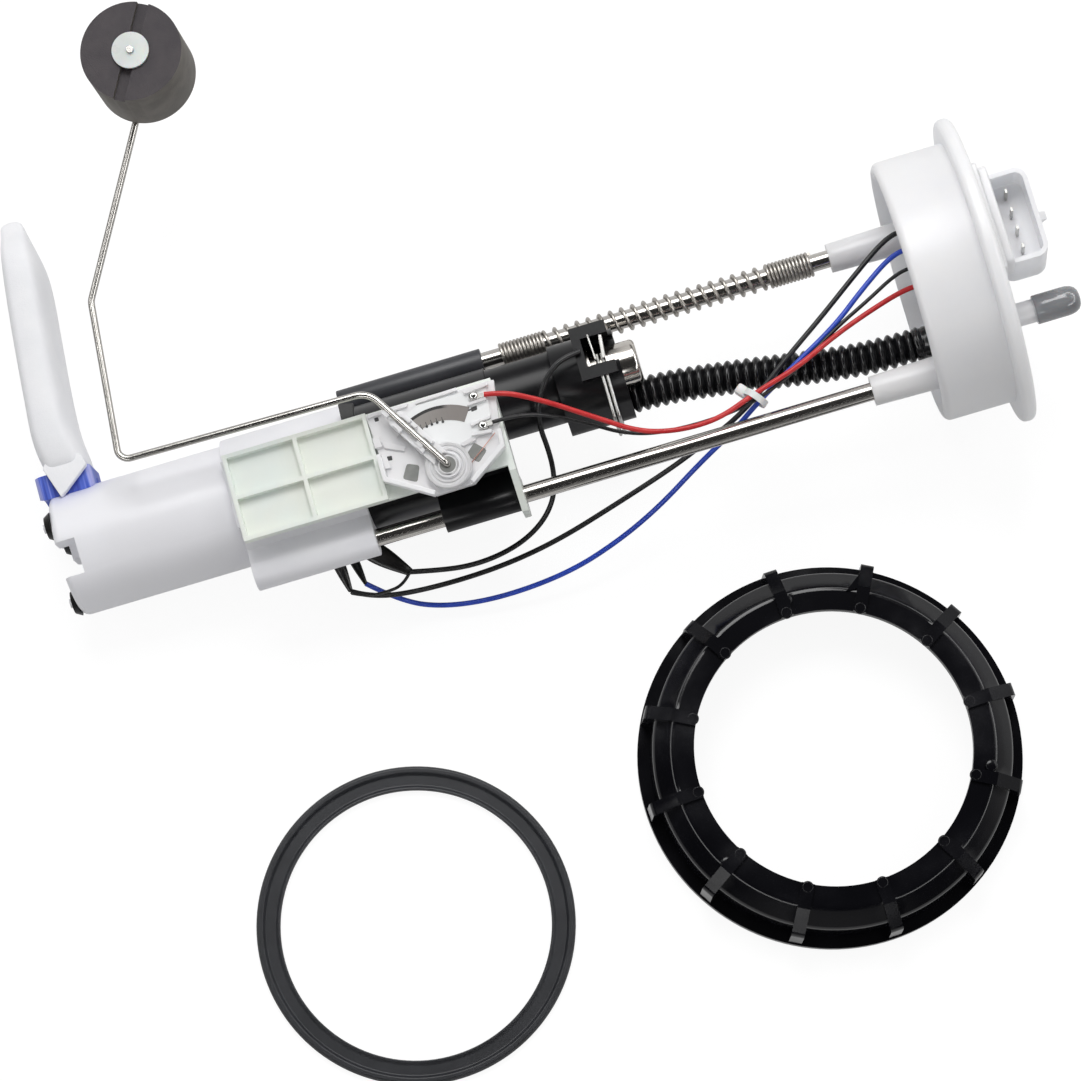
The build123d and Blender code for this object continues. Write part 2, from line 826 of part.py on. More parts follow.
contact_low = frame_y_high + card_thick + 0.25
with BuildPart() as wiper_contact:
    with BuildSketch(facing(contact_low)):
        with Locations(
            Location((pivot_z + 19.6 * arm_z, pivot_x + 19.6 * arm_x, 0), (0, 0, arm_angle))
        ):
            Rectangle(6.0, 2.6)
    extrude(amount=hub_y_low - contact_low)
keep(wiper_contact, "wiper_contact")

wire_corners = [
    (pivot_x, shelf_y_high + 0.4, pivot_z),
    (pivot_x, wire_y, pivot_z),
    (knee_x, wire_y, knee_z),
    (corner_x, wire_y, corner_z),
    (bend_x, wire_y, bend_z),
    (float_x, wire_y, float_z),
    (float_x, float_high_y + 2.2, float_z),
]
with BuildPart() as float_wire:
    with BuildLine():
        wire_path = FilletPolyline(*wire_corners, radius=[1.6, 9.0, 4.0, 7.0, 1.6])
    with BuildSketch(Plane(origin=wire_path @ 0, z_dir=wire_path % 0)):
        Circle(wire_radius)
    sweep(path=wire_path)
keep(float_wire, "float_wire")

with BuildPart() as level_float:
    with BuildSketch(facing(float_low_y)):
        with Locations((float_z, float_x)):
            Circle(float_radius)
            Circle(wire_radius + wire_fit, mode=Mode.SUBTRACT)
    extrude(amount=float_high_y - float_low_y)
    groove_angle = degrees(atan((float_x - bend_x) / (float_z - bend_z)))
    with BuildSketch(facing(float_high_y - float_groove_depth)):
        with Locations(Location((float_z, float_x, 0), (0, 0, groove_angle))):
            Rectangle(3 * float_radius, float_groove)
    extrude(amount=2 * float_groove_depth, mode=Mode.SUBTRACT)
keep(level_float, "level_float")

with BuildPart() as float_washer:
    with BuildSketch(facing(float_high_y + 0.25)):
        with Locations((float_z, float_x)):
            Circle(washer_radius)
            Circle(wire_radius + 0.02, mode=Mode.SUBTRACT)
    extrude(amount=washer_thick)
keep(float_washer, "float_washer")

# Strainer: blue collar with a hollow neck into the cup, and the felt bag
collar_mid = (collar_low + collar_high) / 2
with BuildPart() as strainer_collar:
    with BuildSketch(Plane.YZ.offset(cup_x + cup_radius - 6)):
        with Locations((0, collar_mid)):
            RectangleRounded(2 * collar_half, collar_high - collar_low, 3)
    extrude(amount=collar_x_high - cup_x - cup_radius + 6)
    with BuildSketch(level(collar_low - 1)):
        with Locations((cup_x, 0)):
            Circle(cup_radius + slide_fit)
    extrude(amount=collar_high - collar_low + 2, mode=Mode.SUBTRACT)
    with BuildSketch(Plane.YZ.offset(cup_x + cup_bore - 2)):
        with Locations((0, strainer_port_z)):
            Circle(collar_port - slide_fit)
    extrude(amount=6)
    with BuildSketch(Plane.YZ.offset(cup_x + cup_bore - 3)):
        with Locations((0, strainer_port_z)):
            Circle(collar_port - 1.3)
    extrude(amount=collar_x_high - cup_x - cup_bore + 4, mode=Mode.SUBTRACT)
keep(strainer_collar, "strainer_collar")

bag_sections = [
    (collar_x_high, -334.8, 17.0, 9.5),
    (38.0, -334.7, 14.0, bag_half),
    (62.0, -333.3, 13.0, bag_half),
    (91.0, -331.2, 11.8, bag_half),
    (105.0, -330.5, 9.0, bag_half),
    (bag_top_x - bag_tab, -330.1, 3.6, bag_half - 1),
    (bag_top_x, -330.0, 2.0, bag_half - 3),
]
with BuildPart() as strainer_bag:
    for x, z, thick, half in bag_sections:
        with BuildSketch(Plane.YZ.offset(x)):
            with Locations((0, z)):
                RectangleRounded(2 * half, thick, 0.45 * thick)
    loft(ruled=True)
keep(strainer_bag, "strainer_bag")

# Pump inside the cup: isolator, inlet cover, can, magnets, end cap, brushes, rotor and impeller
cover_low = chamber_top + 2.0
with BuildPart() as pump_isolator:
    with BuildSketch(level(chamber_top)):
        with Locations((cup_x, 0)):
            Circle(can_radius)
            Circle(chamber_radius - 3.0, mode=Mode.SUBTRACT)
    extrude(amount=cover_low - chamber_top)
keep(pump_isolator, "pump_isolator")

with BuildPart() as pump_inlet_cover:
    with Locations((cup_x, 0, cover_low)):
        Cylinder(can_radius, can_low - cover_low, align=upright)
    with Locations((cup_x, 0, can_low - impeller_height - 0.6)):
        Cylinder(
            impeller_radius + 0.4, impeller_height + 0.6, align=upright, mode=Mode.SUBTRACT
        )
    with Locations((cup_x, 0, cover_low + 1.2)):
        Cylinder(
            shaft_radius + pump_fit, can_low - cover_low, align=upright, mode=Mode.SUBTRACT
        )
    with Locations((cup_x + inlet_port_x, 0, cover_low)):
        Cylinder(
            inlet_port_radius, can_low - cover_low, align=upright, mode=Mode.SUBTRACT
        )
keep(pump_inlet_cover, "pump_inlet_cover")

with BuildPart() as pump_can:
    with BuildSketch(level(can_low)):
        with Locations((cup_x, 0)):
            Circle(can_radius)
            Circle(can_radius - can_wall, mode=Mode.SUBTRACT)
    extrude(amount=can_high - can_low)
keep(pump_can, "pump_can")

with BuildPart() as pump_magnets:
    with BuildSketch(level(rotor_low)):
        with Locations((cup_x, 0)):
            Circle(can_radius - can_wall - pump_fit)
            Circle(magnet_inner, mode=Mode.SUBTRACT)
            Rectangle(magnet_gap, 3 * can_radius, mode=Mode.SUBTRACT)
    extrude(amount=rotor_high - rotor_low)
keep(pump_magnets, "pump_magnets")

end_low = can_high - end_cap_height
with BuildPart() as pump_end_cap:
    with Locations((cup_x, 0, end_low)):
        Cylinder(can_radius - can_wall - pump_fit, can_high - end_low, align=upright)
    with Locations((cup_x, 0, can_high)):
        Cylinder(can_radius - 2, 4, align=upright)
    with Locations((neck_x, 0, can_high + 4)):
        Cylinder(outlet_stub_radius, outlet_stub_length, align=upright)
    with Locations((neck_x, 0, can_high)):
        Cylinder(
            outlet_stub_bore, outlet_stub_length + 4, align=upright, mode=Mode.SUBTRACT
        )
    with Locations((cup_x, 0, end_low)):
        Cylinder(shaft_radius + pump_fit, 5, align=upright, mode=Mode.SUBTRACT)
keep(pump_end_cap, "pump_end_cap")

with BuildPart() as pump_brushes:
    with Locations(*[(cup_x, side * brush_x, end_low - brush_size[2]) for side in (1, -1)]):
        Box(*brush_size, align=upright)
keep(pump_brushes, "pump_brushes")

with BuildPart() as pump_rotor:
    with Locations((cup_x, 0, cover_low + 1.5)):
        Cylinder(shaft_radius, end_low + 4.6 - cover_low - 1.5, align=upright)
    with Locations((cup_x, 0, rotor_low)):
        Cylinder(rotor_radius, rotor_high - rotor_low, align=upright)
    with BuildSketch(level(rotor_low)):
        with Locations((cup_x, 0)):
            with PolarLocations(rotor_radius, 8):
                Rectangle(2.4, 1.4)
    extrude(amount=rotor_high - rotor_low, mode=Mode.SUBTRACT)
    with Locations((cup_x, 0, rotor_high)):
        Cylinder(4.95, end_low - 1.0 - rotor_high, align=upright)
keep(pump_rotor, "pump_rotor")

with BuildPart() as pump_impeller:
    with BuildSketch(level(can_low - impeller_height)):
        with Locations((cup_x, 0)):
            Circle(impeller_radius)
            Circle(shaft_radius + 0.02, mode=Mode.SUBTRACT)
            with PolarLocations(impeller_radius, 16):
                Rectangle(3.2, 1.8, mode=Mode.SUBTRACT)
    extrude(amount=impeller_height - 0.3)
keep(pump_impeller, "pump_impeller")

with BuildPart() as pump_outlet_hose:
    with BuildSketch(level(can_high + 6)):
        with Locations((neck_x, 0)):
            Circle(outlet_stub_radius + slide_fit + outlet_hose_wall)
            Circle(outlet_stub_radius + slide_fit, mode=Mode.SUBTRACT)
    extrude(amount=neck_top - can_high - 6)
keep(pump_outlet_hose, "pump_outlet_hose")

# Lock ring: a threaded cap without a top, with ribs that stand out from its wall as grips
with BuildPart() as rib:
    with BuildSketch(Plane.XZ.offset(-rib_width / 2)) as rib_side:
        with BuildLine():
            Polyline(
                (lock_wall_radius - 2, lock_base_height / 2),
                (lock_wall_radius + rib_reach + 0.6, lock_base_height / 2),
                (lock_wall_radius + rib_reach, lock_wall_high + rib_rise),
                (lock_deck_radius + 1, lock_height + rib_rise),
                (lock_mouth_radius, lock_height + rib_rise),
                (lock_mouth_radius, lock_height - 1),
                (lock_deck_radius - 1, lock_height - 1),
                (lock_wall_radius - 2, lock_wall_high),
                close=True,
            )
        make_face()
        rib_corner = (lock_wall_radius + rib_reach, lock_wall_high + rib_rise, 0)
        fillet(rib_side.vertices().sort_by_distance(rib_corner)[0], lock_round)
    extrude(amount=rib_width)
with BuildPart() as lock_ring:
    with BuildSketch(Plane.XZ) as ring_side:
        with BuildLine():
            Polyline(
                (lock_rim_bore, 0),
                (lock_base_radius, 0),
                (lock_base_radius, lock_base_height),
                (lock_wall_radius + 0.6, lock_base_height),
                (lock_wall_radius, lock_wall_high),
                (lock_deck_radius, lock_height),
                (lock_mouth_radius, lock_height),
                (lock_mouth_radius, lock_height - lock_lip),
                (lock_rim_bore - 1.0, lock_height - lock_lip),
                (lock_rim_bore, lock_height - lock_lip - 1.0),
                close=True,
            )
        make_face()
        deck_edge, wall_edge = [
            ring_side.vertices().sort_by_distance((radius, height, 0))[0]
            for radius, height in ((lock_deck_radius, lock_height), (lock_wall_radius, lock_wall_high))
        ]
        fillet([deck_edge, wall_edge], lock_round)
    revolve(axis=Axis.Z)
    with PolarLocations(0, rib_count, start_angle=rib_start):
        add(rib.part)
keep(lock_ring, "lock_ring", Location((lock_x, lock_y, 0)))

seal_outer = seal_inner + seal_width
seal_floor = seal_height - seal_lip
with BuildPart() as seal_ring:
    with BuildSketch(Plane.XZ):
        with BuildLine():
            Polyline(
                (seal_inner, 0),
                (seal_outer, 0),
                (seal_outer, seal_floor),
                (seal_outer - seal_lip_slope, seal_height),
                (seal_outer - seal_lip_width + seal_lip_slope, seal_height),
                (seal_outer - seal_lip_width, seal_floor),
                (seal_inner + seal_bead_width, seal_floor),
                (seal_inner + seal_bead_width / 2, seal_height - seal_bead_drop),
                (seal_inner, seal_height - seal_bead_drop),
                close=True,
            )
        make_face()
    revolve(axis=Axis.Z)
keep(seal_ring, "seal_ring", Location((seal_x, seal_y, 0)))

# Wiring: heat-shrink boots on the bracket, and five wires with their tie
wire_thick = 0.95
wire_thin = 0.7
boot_pocket = 0.6
boots = {
    "regulator": ((-29.2, -6.5, -239.0), (-44.6, -7.0, -224.6), 2.3, 1.6),
    "black": ((-29.2, -7.6, -249.2), (-45.0, -8.4, -247.0), 2.3, 1.5),
    "blue": ((-27.4, -13.0, -244.6), (-42.6, -14.6, -241.6), 2.2, 1.7),
}
cord_gap = 0.35
plug_ends = [(x, pin_y, plug_low - cord_gap) for x in reversed(pin_places)]
routes = {
    "black_wire": [
        plug_ends[0],
        (pin_places[3], pin_y, -27.0),
        (9.0, 6.6, -44.0),
        (-1.5, 8.0, -58.2),
        (-11.6, 9.0, -73.0),
        (-22.5, 8.6, -88.0),
        (-27.6, 3.6, -98.5),
        (-30.6, -2.4, -109.5),
        (-34.9, -7.4, -123.0),
        (-40.4, -13.6, -145.4),
        (-46.6, -17.4, -170.0),
        (-49.8, -18.0, -191.0),
        (-50.6, -17.6, -212.0),
        (-50.2, -14.0, -231.0),
        (-48.0, -9.6, -242.0),
        boots["black"][1],
    ],
    "blue_wire": [
        plug_ends[1],
        (pin_places[2], pin_y, -27.0),
        (4.6, 6.6, -41.0),
        (-5.5, 7.8, -53.9),
        (-15.0, 9.0, -71.0),
        (-24.8, 9.2, -88.2),
        (-30.8, 2.8, -99.0),
        (-36.4, -6.2, -113.5),
        (-45.4, -15.6, -131.6),
        (-52.0, -22.4, -149.2),
        (-57.4, -26.8, -170.0),
        (-58.8, -29.4, -196.0),
        (-56.4, -28.4, -217.0),
        (-51.0, -22.6, -231.6),
        boots["blue"][1],
    ],
    "sender_black_wire": [
        plug_ends[2],
        (pin_places[1], pin_y, -27.0),
        (-0.4, 7.0, -41.0),
        (-6.8, 9.0, -54.0),
        (-17.2, 10.0, -71.0),
        (-24.6, 11.5, -88.0),
        (-26.8, 12.6, -103.0),
        (-27.0, 13.6, -116.0),
        (-26.0, 15.0, -128.0),
        (-22.6, 16.2, -138.0),
        (-17.6, 18.0, -146.2),
        (-12.9, 20.6, -155.2),
        (-9.8, 24.6, -163.6),
        (-9.0, 29.4, -172.2),
        (rivet_places[1][1], 31.1, -179.6),
    ],
    "sender_red_wire": [
        plug_ends[3],
        (pin_places[0], pin_y, -27.0),
        (-4.6, 8.0, -42.0),
        (-10.0, 10.2, -56.0),
        (-17.6, 13.0, -71.5),
        (-22.0, 12.4, -88.2),
        (-27.6, 15.2, -102.0),
        (-28.6, 17.4, -114.0),
        (-26.8, 18.6, -125.8),
        (-23.0, 19.6, -134.4),
        (-18.2, 21.2, -141.6),
        (-13.4, 23.6, -149.2),
        (-8.4, 26.6, -157.2),
        (-3.6, 29.6, -166.0),
        (-0.2, 31.2, -173.4),
        (rivet_places[0][1], 31.1, -179.8),
    ],
    "regulator_wire": [
        (9.2, cradle_y + 1.2, cradle_low + 2.0),
        (8.4, 20.0, -149.6),
        (5.0, 19.8, -155.8),
        (-0.6, 18.2, -160.6),
        (-6.4, 14.8, -163.8),
        (-11.8, 9.8, -164.8),
        (-17.4, 4.0, -164.4),
        (-23.2, -0.8, -164.6),
        (-29.0, -4.4, -165.8),
        (-34.4, -8.0, -168.4),
        (-39.6, -11.2, -173.6),
        (-43.8, -13.4, -181.4),
        (-46.4, -14.2, -191.0),
        (-47.6, -12.8, -201.6),
        (-47.0, -9.6, -212.6),
        boots["regulator"][1],
    ],
}
with BuildPart() as wire_boots:
    for low, high, wide, narrow in boots.values():
        way = Vector(*high) - Vector(*low)
        with Locations(Location(Plane(origin=low, z_dir=way))):
            Cone(wide, narrow, way.length, align=upright)
    with BuildSketch(level(bracket_low)):
        with Locations((cup_x, 0)):
            Circle(cup_radius + bracket_wall + bracket_fit + slide_fit)
    extrude(amount=holder_top - bracket_low, mode=Mode.SUBTRACT)
    # Each wire enters the tip of its boot
    for name in boots:
        before, end = [Vector(*point) for point in routes[name + "_wire"][-2:]]
        back = (before - end).normalized()
        with BuildSketch(Plane(origin=end - back * boot_pocket, z_dir=back)):
            Circle(wire_thick + slide_fit)
        extrude(amount=4 + boot_pocket, mode=Mode.SUBTRACT)
keep(wire_boots, "wire_boots")

wire_sizes = {"sender_black_wire": wire_thin}
for name, route in routes.items():
    print(name)
    wire = tube(route, wire_sizes.get(name, wire_thick))
    keep(wire, name)
    cords.append(name)

tie_z = -88.0
tie_x = -23.6
tie_y = 10.6
tie_band_radius = 5.0
tie_bore = 4.3
tie_width = 2.4
tie_head = 3.8
with BuildPart() as cable_tie:
    with BuildSketch(level(tie_z - tie_width / 2)):
        with Locations((tie_x, tie_y)):
            Circle(tie_band_radius)
            Circle(tie_bore, mode=Mode.SUBTRACT)
    extrude(amount=tie_width)
    with Locations((tie_x - 1.5, tie_y + tie_bore + tie_head / 2 + 0.2, tie_z)):
        Box(4.2, tie_head, tie_head)
keep(cable_tie, "cable_tie")
cords.append("cable_tie")

# The origin is under the middle of everything that isn't wiring, on the bench
boxes = [piece.bounding_box() for piece in pieces if piece.label not in cords]
low = [min(tuple(box.min)[i] for box in boxes) for i in range(3)]
high = [max(tuple(box.max)[i] for box in boxes) for i in range(3)]
to_origin = Location((-(low[0] + high[0]) / 2, -(low[1] + high[1]) / 2, -low[2]))
print("tilt", degrees(tilt), "lift", flange_lift, "origin shift", to_origin.position)
print("box", low, high)

os.makedirs("parts", exist_ok=True)
for piece in pieces:
    solid = piece.moved(to_origin)
    solid.label = piece.label
    export_step(solid, f"parts/{piece.label}.step")
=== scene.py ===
import math

import bmesh
import bpy
from mathutils import Matrix, Vector


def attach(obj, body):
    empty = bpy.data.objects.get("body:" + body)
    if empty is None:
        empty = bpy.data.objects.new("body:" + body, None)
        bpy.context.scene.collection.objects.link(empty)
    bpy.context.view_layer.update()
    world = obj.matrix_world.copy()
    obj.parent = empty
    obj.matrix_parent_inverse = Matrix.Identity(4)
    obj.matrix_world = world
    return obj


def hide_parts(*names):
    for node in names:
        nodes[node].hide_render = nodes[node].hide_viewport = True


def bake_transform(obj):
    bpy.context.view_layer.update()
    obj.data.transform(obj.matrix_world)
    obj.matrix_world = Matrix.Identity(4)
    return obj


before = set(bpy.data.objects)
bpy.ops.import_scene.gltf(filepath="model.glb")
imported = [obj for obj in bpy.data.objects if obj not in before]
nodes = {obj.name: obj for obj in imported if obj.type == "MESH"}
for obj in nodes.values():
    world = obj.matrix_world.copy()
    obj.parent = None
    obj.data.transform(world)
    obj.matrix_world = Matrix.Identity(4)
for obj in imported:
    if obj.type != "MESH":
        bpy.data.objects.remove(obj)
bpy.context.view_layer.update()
print("frame loaded,", len(nodes), "nodes")

# The module lies tilted on the bench: its own frame has Z up its axis and Y to the sender's side
module = {"rimRadius": 56.0, "cupRadius": 22.3, "footLow": -341.6, "shift": (156.323, 28.1)}
tilt = math.atan((module["rimRadius"] - module["cupRadius"]) / -module["footLow"])
lift = module["rimRadius"] * math.cos(tilt)
laid = Matrix.Scale(0.001, 4) @ Matrix(
    (
        (0, -math.sin(tilt), math.cos(tilt), module["shift"][0]),
        (1, 0, 0, module["shift"][1]),
        (0, math.cos(tilt), math.sin(tilt), lift),
        (0, 0, 0, 1),
    )
)
# Shapes on the sender are drawn as (z, x) on its face, with y as their height
onSender = laid @ Matrix(((0, 1, 0, 0), (0, 0, 1, 0), (1, 0, 0, 0), (0, 0, 0, 1)))


def at(x, y, z):
    # Millimetres in the module's frame to metres on the bench
    return laid @ Vector((x, y, z))


# Camera at the photograph's angle
cameraSet = {
    "azimuth": -15.657,
    "elevation": 78.0,
    "distance": 1.5,
    "lens": 136.35,
    "target": (-0.016415, -0.01269, 0.0),
}


def makeCamera(values):
    a, e = math.radians(values["azimuth"]), math.radians(values["elevation"])
    back = Vector((math.sin(a) * math.cos(e), -math.cos(a) * math.cos(e), math.sin(e)))
    data = bpy.data.cameras.new("photoCamera")
    data.lens = values["lens"]
    data.clip_start, data.clip_end = 0.05, 20
    camera = bpy.data.objects.new("photoCamera", data)
    camera.location = Vector(values["target"]) + back * values["distance"]
    camera.rotation_euler = (-back).to_track_quat("-Z", "Y").to_euler()
    bpy.context.scene.collection.objects.link(camera)
    bpy.context.scene.camera = camera


makeCamera(cameraSet)


class Socket:
    # An output of a shader node; expressions on it add Math nodes
    def __init__(self, tree, out):
        self.tree = tree
        self.out = out

    def math(self, operation, other, swapped=False):
        node = self.tree.nodes.new("ShaderNodeMath")
        node.operation = operation
        for place, value in zip(node.inputs, (other, self) if swapped else (self, other)):
            plug(self.tree, place, value)
        return Socket(self.tree, node.outputs[0])

    def __add__(self, other):
        return self.math("ADD", other)

    __radd__ = __add__

    def __sub__(self, other):
        return self.math("SUBTRACT", other)

    def __rsub__(self, other):
        return self.math("SUBTRACT", other, True)

    def __mul__(self, other):
        return self.math("MULTIPLY", other)

    __rmul__ = __mul__


def plug(tree, place, value):
    if isinstance(value, Socket):
        tree.links.new(value.out, place)
    elif isinstance(value, tuple) and place.type == "RGBA":
        place.default_value = (*value, 1)
    else:
        place.default_value = value


class Nodes:
    # Adds nodes to one tree; i0, i1 and so on name a node's sockets by their place
    def __init__(self, tree):
        self.tree = tree

    def node(self, kind, settings=None, output=0, **values):
        node = self.tree.nodes.new(kind)
        for key, value in (settings or {}).items():
            if key == "stops":
                ramp = node.color_ramp
                for stop in range(len(value) - 2):
                    ramp.elements.new(0.5)
                for element, (position, colour) in zip(ramp.elements, value):
                    element.position = position
                    element.color = (*colour, 1)
            else:
                setattr(node, key, value)
        for socket, value in values.items():
            slot = int(socket[1:]) if socket[0] == "i" and socket[1:].isdigit() else socket
            plug(self.tree, node.inputs[slot], value)
        return Socket(self.tree, node.outputs[output])

    def step(self, value, low, high, first=0.0, last=1.0):
        # Eases from first to last while the value goes from low to high
        return self.node(
            "ShaderNodeMapRange",
            {"interpolation_type": "SMOOTHSTEP"},
            i0=value,
            i1=low,
            i2=high,
            i3=first,
            i4=last,
        )


class Finish(Nodes):
    # A material: its principled shader and the nodes that vary it over the surface
    def __init__(self, name, **values):
        self.material = bpy.data.materials.new(name)
        self.material.use_nodes = True
        super().__init__(self.material.node_tree)
        self.shader = self.tree.nodes["Principled BSDF"]
        self.place = self.node("ShaderNodeTexCoord", output="Object")
        self.set(values)

    def set(self, values):
        for socket, value in values.items():
            plug(self.tree, self.shader.inputs[socket], value)

    def noise(self, scale, detail=2.0, place=None, rough=0.5):
        return self.node(
            "ShaderNodeTexNoise",
            Vector=place or self.place,
            Scale=scale,
            Detail=detail,
            Roughness=rough,
        )

    def stretched(self, scales, turn=(0, 0, 0)):
        return self.node("ShaderNodeMapping", Vector=self.place, Scale=scales, Rotation=turn)

    def blend(self, share, first, second):
        return self.node(
            "ShaderNodeMix", {"data_type": "RGBA"}, output=2, i0=share, i6=first, i7=second
        )

    def distance(self, point):
        return self.node(
            "ShaderNodeVectorMath",
            {"operation": "DISTANCE"},
            output="Value",
            i0=self.place,
            i1=point,
        )

    def bump(self, height, depth, strength=1.0):
        grain = self.node("ShaderNodeBump", Strength=strength, Distance=depth, Height=height)
        self.set({"Normal": grain})


def varied(
    name, colour, other, roughness, spread=0.06, scale=90.0, bump=0.00002, grain=900.0, **values
):
    # A finish whose colour, roughness and fine grain all vary over the surface
    finish = Finish(name, **values)
    cloud = finish.noise(scale, 4.0)
    finish.set(
        {
            "Base Color": finish.blend(finish.step(cloud, 0.3, 0.7), colour, other),
            "Roughness": roughness + spread * (finish.noise(scale * 2.3, 3.0) - 0.5),
        }
    )
    finish.bump(finish.noise(grain, 3.0) + 1.5 * cloud, bump)
    return finish


def plainMetal(name, colour, other, roughness, marks, depth):
    # Bright metal with fine marks that run one way
    finish = Finish(name, Metallic=1.0)
    lines = finish.noise(1.0, 4.0, finish.stretched(marks))
    stain = finish.noise(60.0, 3.0)
    finish.set(
        {
            "Base Color": finish.blend(finish.step(stain, 0.35, 0.75), colour, other),
            "Roughness": roughness + 0.03 * (lines - 0.5) + 0.04 * (stain - 0.5),
        }
    )
    if depth:
        finish.bump(lines, depth)
    return finish


whites = {  # two colours, roughness, and how much light passes under the surface
    "flange": ((0.905, 0.91, 0.95), (0.93, 0.935, 0.96), 0.34, 0.6),
    "cup": ((0.86, 0.86, 0.9), (0.89, 0.89, 0.92), 0.4, 0.15),
    "bracket": ((0.84, 0.84, 0.88), (0.87, 0.87, 0.9), 0.4, 0.15),
    "frame": ((0.88, 0.88, 0.9), (0.91, 0.91, 0.925), 0.34, 0.45),
    "plug": ((0.8, 0.81, 0.8), (0.84, 0.84, 0.84), 0.4, 0.15),
}


def whiteFinish(key):
    first, second, roughness, depth = whites[key]
    return varied(
        key + "White",
        first,
        second,
        roughness,
        scale=55.0,
        bump=0.000015,
        **{
            "Subsurface Weight": depth,
            "Subsurface Radius": (0.9, 0.95, 1.0),
            "Subsurface Scale": 0.004 + 0.01 * depth,
        },
    )


def cupFinish():
    # White acetal, tinted blue close to the collar's foot
    finish = whiteFinish("cup")
    collarFoot = finish.distance(at(17.5, 2.0, -334.0))
    # a blue tint that fades out within about 2 cm of the collar's foot
    blueNearCollar = (1 - finish.step(collarFoot, 0.006, 0.022)) * (0.2 + 0.5 * finish.noise(160.0, 3.0))
    finish.set({"Base Color": finish.blend(blueNearCollar, (0.87, 0.87, 0.905), (0.34, 0.36, 0.76))})
    return finish


def plateFinish():
    # Natural plastic, a little green and see-through
    return varied(
        "plateNatural",
        (0.8, 0.86, 0.815),
        (0.84, 0.87, 0.8),
        0.3,
        scale=45.0,
        **{
            "Subsurface Weight": 0.2,
            "Subsurface Radius": (0.9, 1.0, 0.9),
            "Subsurface Scale": 0.003,
        },
    )


def collarFinish():
    # Blue nylon with paler streaks where the dye has run
    finish = Finish("collarBlue", Roughness=0.45)
    streak = finish.noise(1.0, 2.0, finish.stretched((420.0, 8.0, 60.0)))
    blues = [(0.36, (0.02, 0.045, 0.36)), (0.53, (0.06, 0.12, 0.58)), (0.68, (0.4, 0.42, 0.8))]
    finish.set({"Base Color": finish.node("ShaderNodeValToRGB", {"stops": blues}, Fac=streak)})
    finish.bump(finish.noise(1500.0), 0.00002)
    return finish


def feltFinish():
    # Needled felt: short crossing fibres over soft lumps
    finish = Finish("bagFelt", **{"Sheen Weight": 0.25, "Sheen Roughness": 0.5})
    lumps = finish.noise(70.0, 4.0)
    fibres = finish.noise(1.0, 5.0, finish.stretched((900.0, 2600.0, 900.0)), 0.7)
    across = finish.noise(1.0, 5.0, finish.stretched((2600.0, 800.0, 1400.0), (0, 0, 0.5)), 0.7)
    tone = finish.blend(finish.step(lumps, 0.3, 0.72), (0.87, 0.875, 0.9), (0.92, 0.92, 0.94))
    finish.set({"Base Color": tone, "Roughness": 0.82 + 0.1 * (lumps - 0.5)})
    finish.bump(fibres * 0.6 + across * 0.5 + lumps * 1.2, 0.00022, 0.7)
    return finish


def foamFinish():
    # Moulded closed-cell rubber: matt, with fine pores and mould marks, painted darker on faces
    # that point up and lighter on the sides
    finish = Finish("floatFoam", **{"Specular IOR Level": 0.35})
    cells = finish.node("ShaderNodeTexVoronoi", Vector=finish.place, Scale=1900.0)
    patch = finish.noise(120.0, 5.0)
    normal = finish.node("ShaderNodeNewGeometry", output="Normal")
    # faces that point up in the world get the darker tone and the sides the lighter: painted shade
    # and painted light
    top = finish.step(finish.node("ShaderNodeSeparateXYZ", output="Z", Vector=normal), 0.75, 0.9)
    mould = finish.step(patch, 0.3, 0.7)
    # sides: the painted-light tone; ends: the painted-shade tone
    sides = finish.blend(mould, (0.115, 0.106, 0.094), (0.165, 0.152, 0.136))
    ends = finish.blend(mould, (0.048, 0.042, 0.047), (0.066, 0.058, 0.062))
    finish.set(
        {"Base Color": finish.blend(top, sides, ends), "Roughness": 0.66 + 0.16 * (patch - 0.5)}
    )
    finish.bump(cells * 0.5 + patch, 0.00012, 0.8)
    return finish


def lockFinish():
    # Black nylon, glossy where it isn't smudged
    finish = Finish("ringBlack", **{"Specular IOR Level": 0.38})
    smudge = finish.noise(38.0, 6.0)
    tone = finish.blend(
        finish.step(smudge, 0.4, 0.8), (0.0028, 0.0028, 0.0042), (0.007, 0.007, 0.0095)
    )
    finish.set({"Base Color": tone, "Roughness": 0.13 + 0.16 * finish.step(smudge, 0.45, 0.8)})
    finish.bump(finish.noise(240.0, 3.0) + smudge, 0.00001, 0.5)
    return finish


def trackFinish():
    # Thick-film ink: fired stripes that brown towards one end, with a dark conductor outside them
    finish = Finish("trackGrey")
    stripe = finish.noise(1.0, 1.0, finish.stretched((2600.0, 120.0, 60.0), (0, 0, 0.3)))
    along = finish.step(finish.distance(at(6.0, 29.8, -212.0)), 0.004, 0.024)
    tone = finish.blend(along, (0.3, 0.285, 0.265), (0.22, 0.195, 0.18))
    tone = finish.blend(stripe * 0.35, tone, (0.17, 0.165, 0.16))
    outside = finish.step(finish.distance(at(-20.2, 29.8, -198.6)), 0.0212, 0.0214)
    dark = outside * (1 - finish.step(along, 0.7, 0.9))
    finish.set({"Base Color": finish.blend(dark, tone, (0.012, 0.012, 0.012))})
    finish.set({"Roughness": 0.42 - 0.1 * outside})
    finish.bump(finish.noise(2500.0), 0.00001)
    return finish


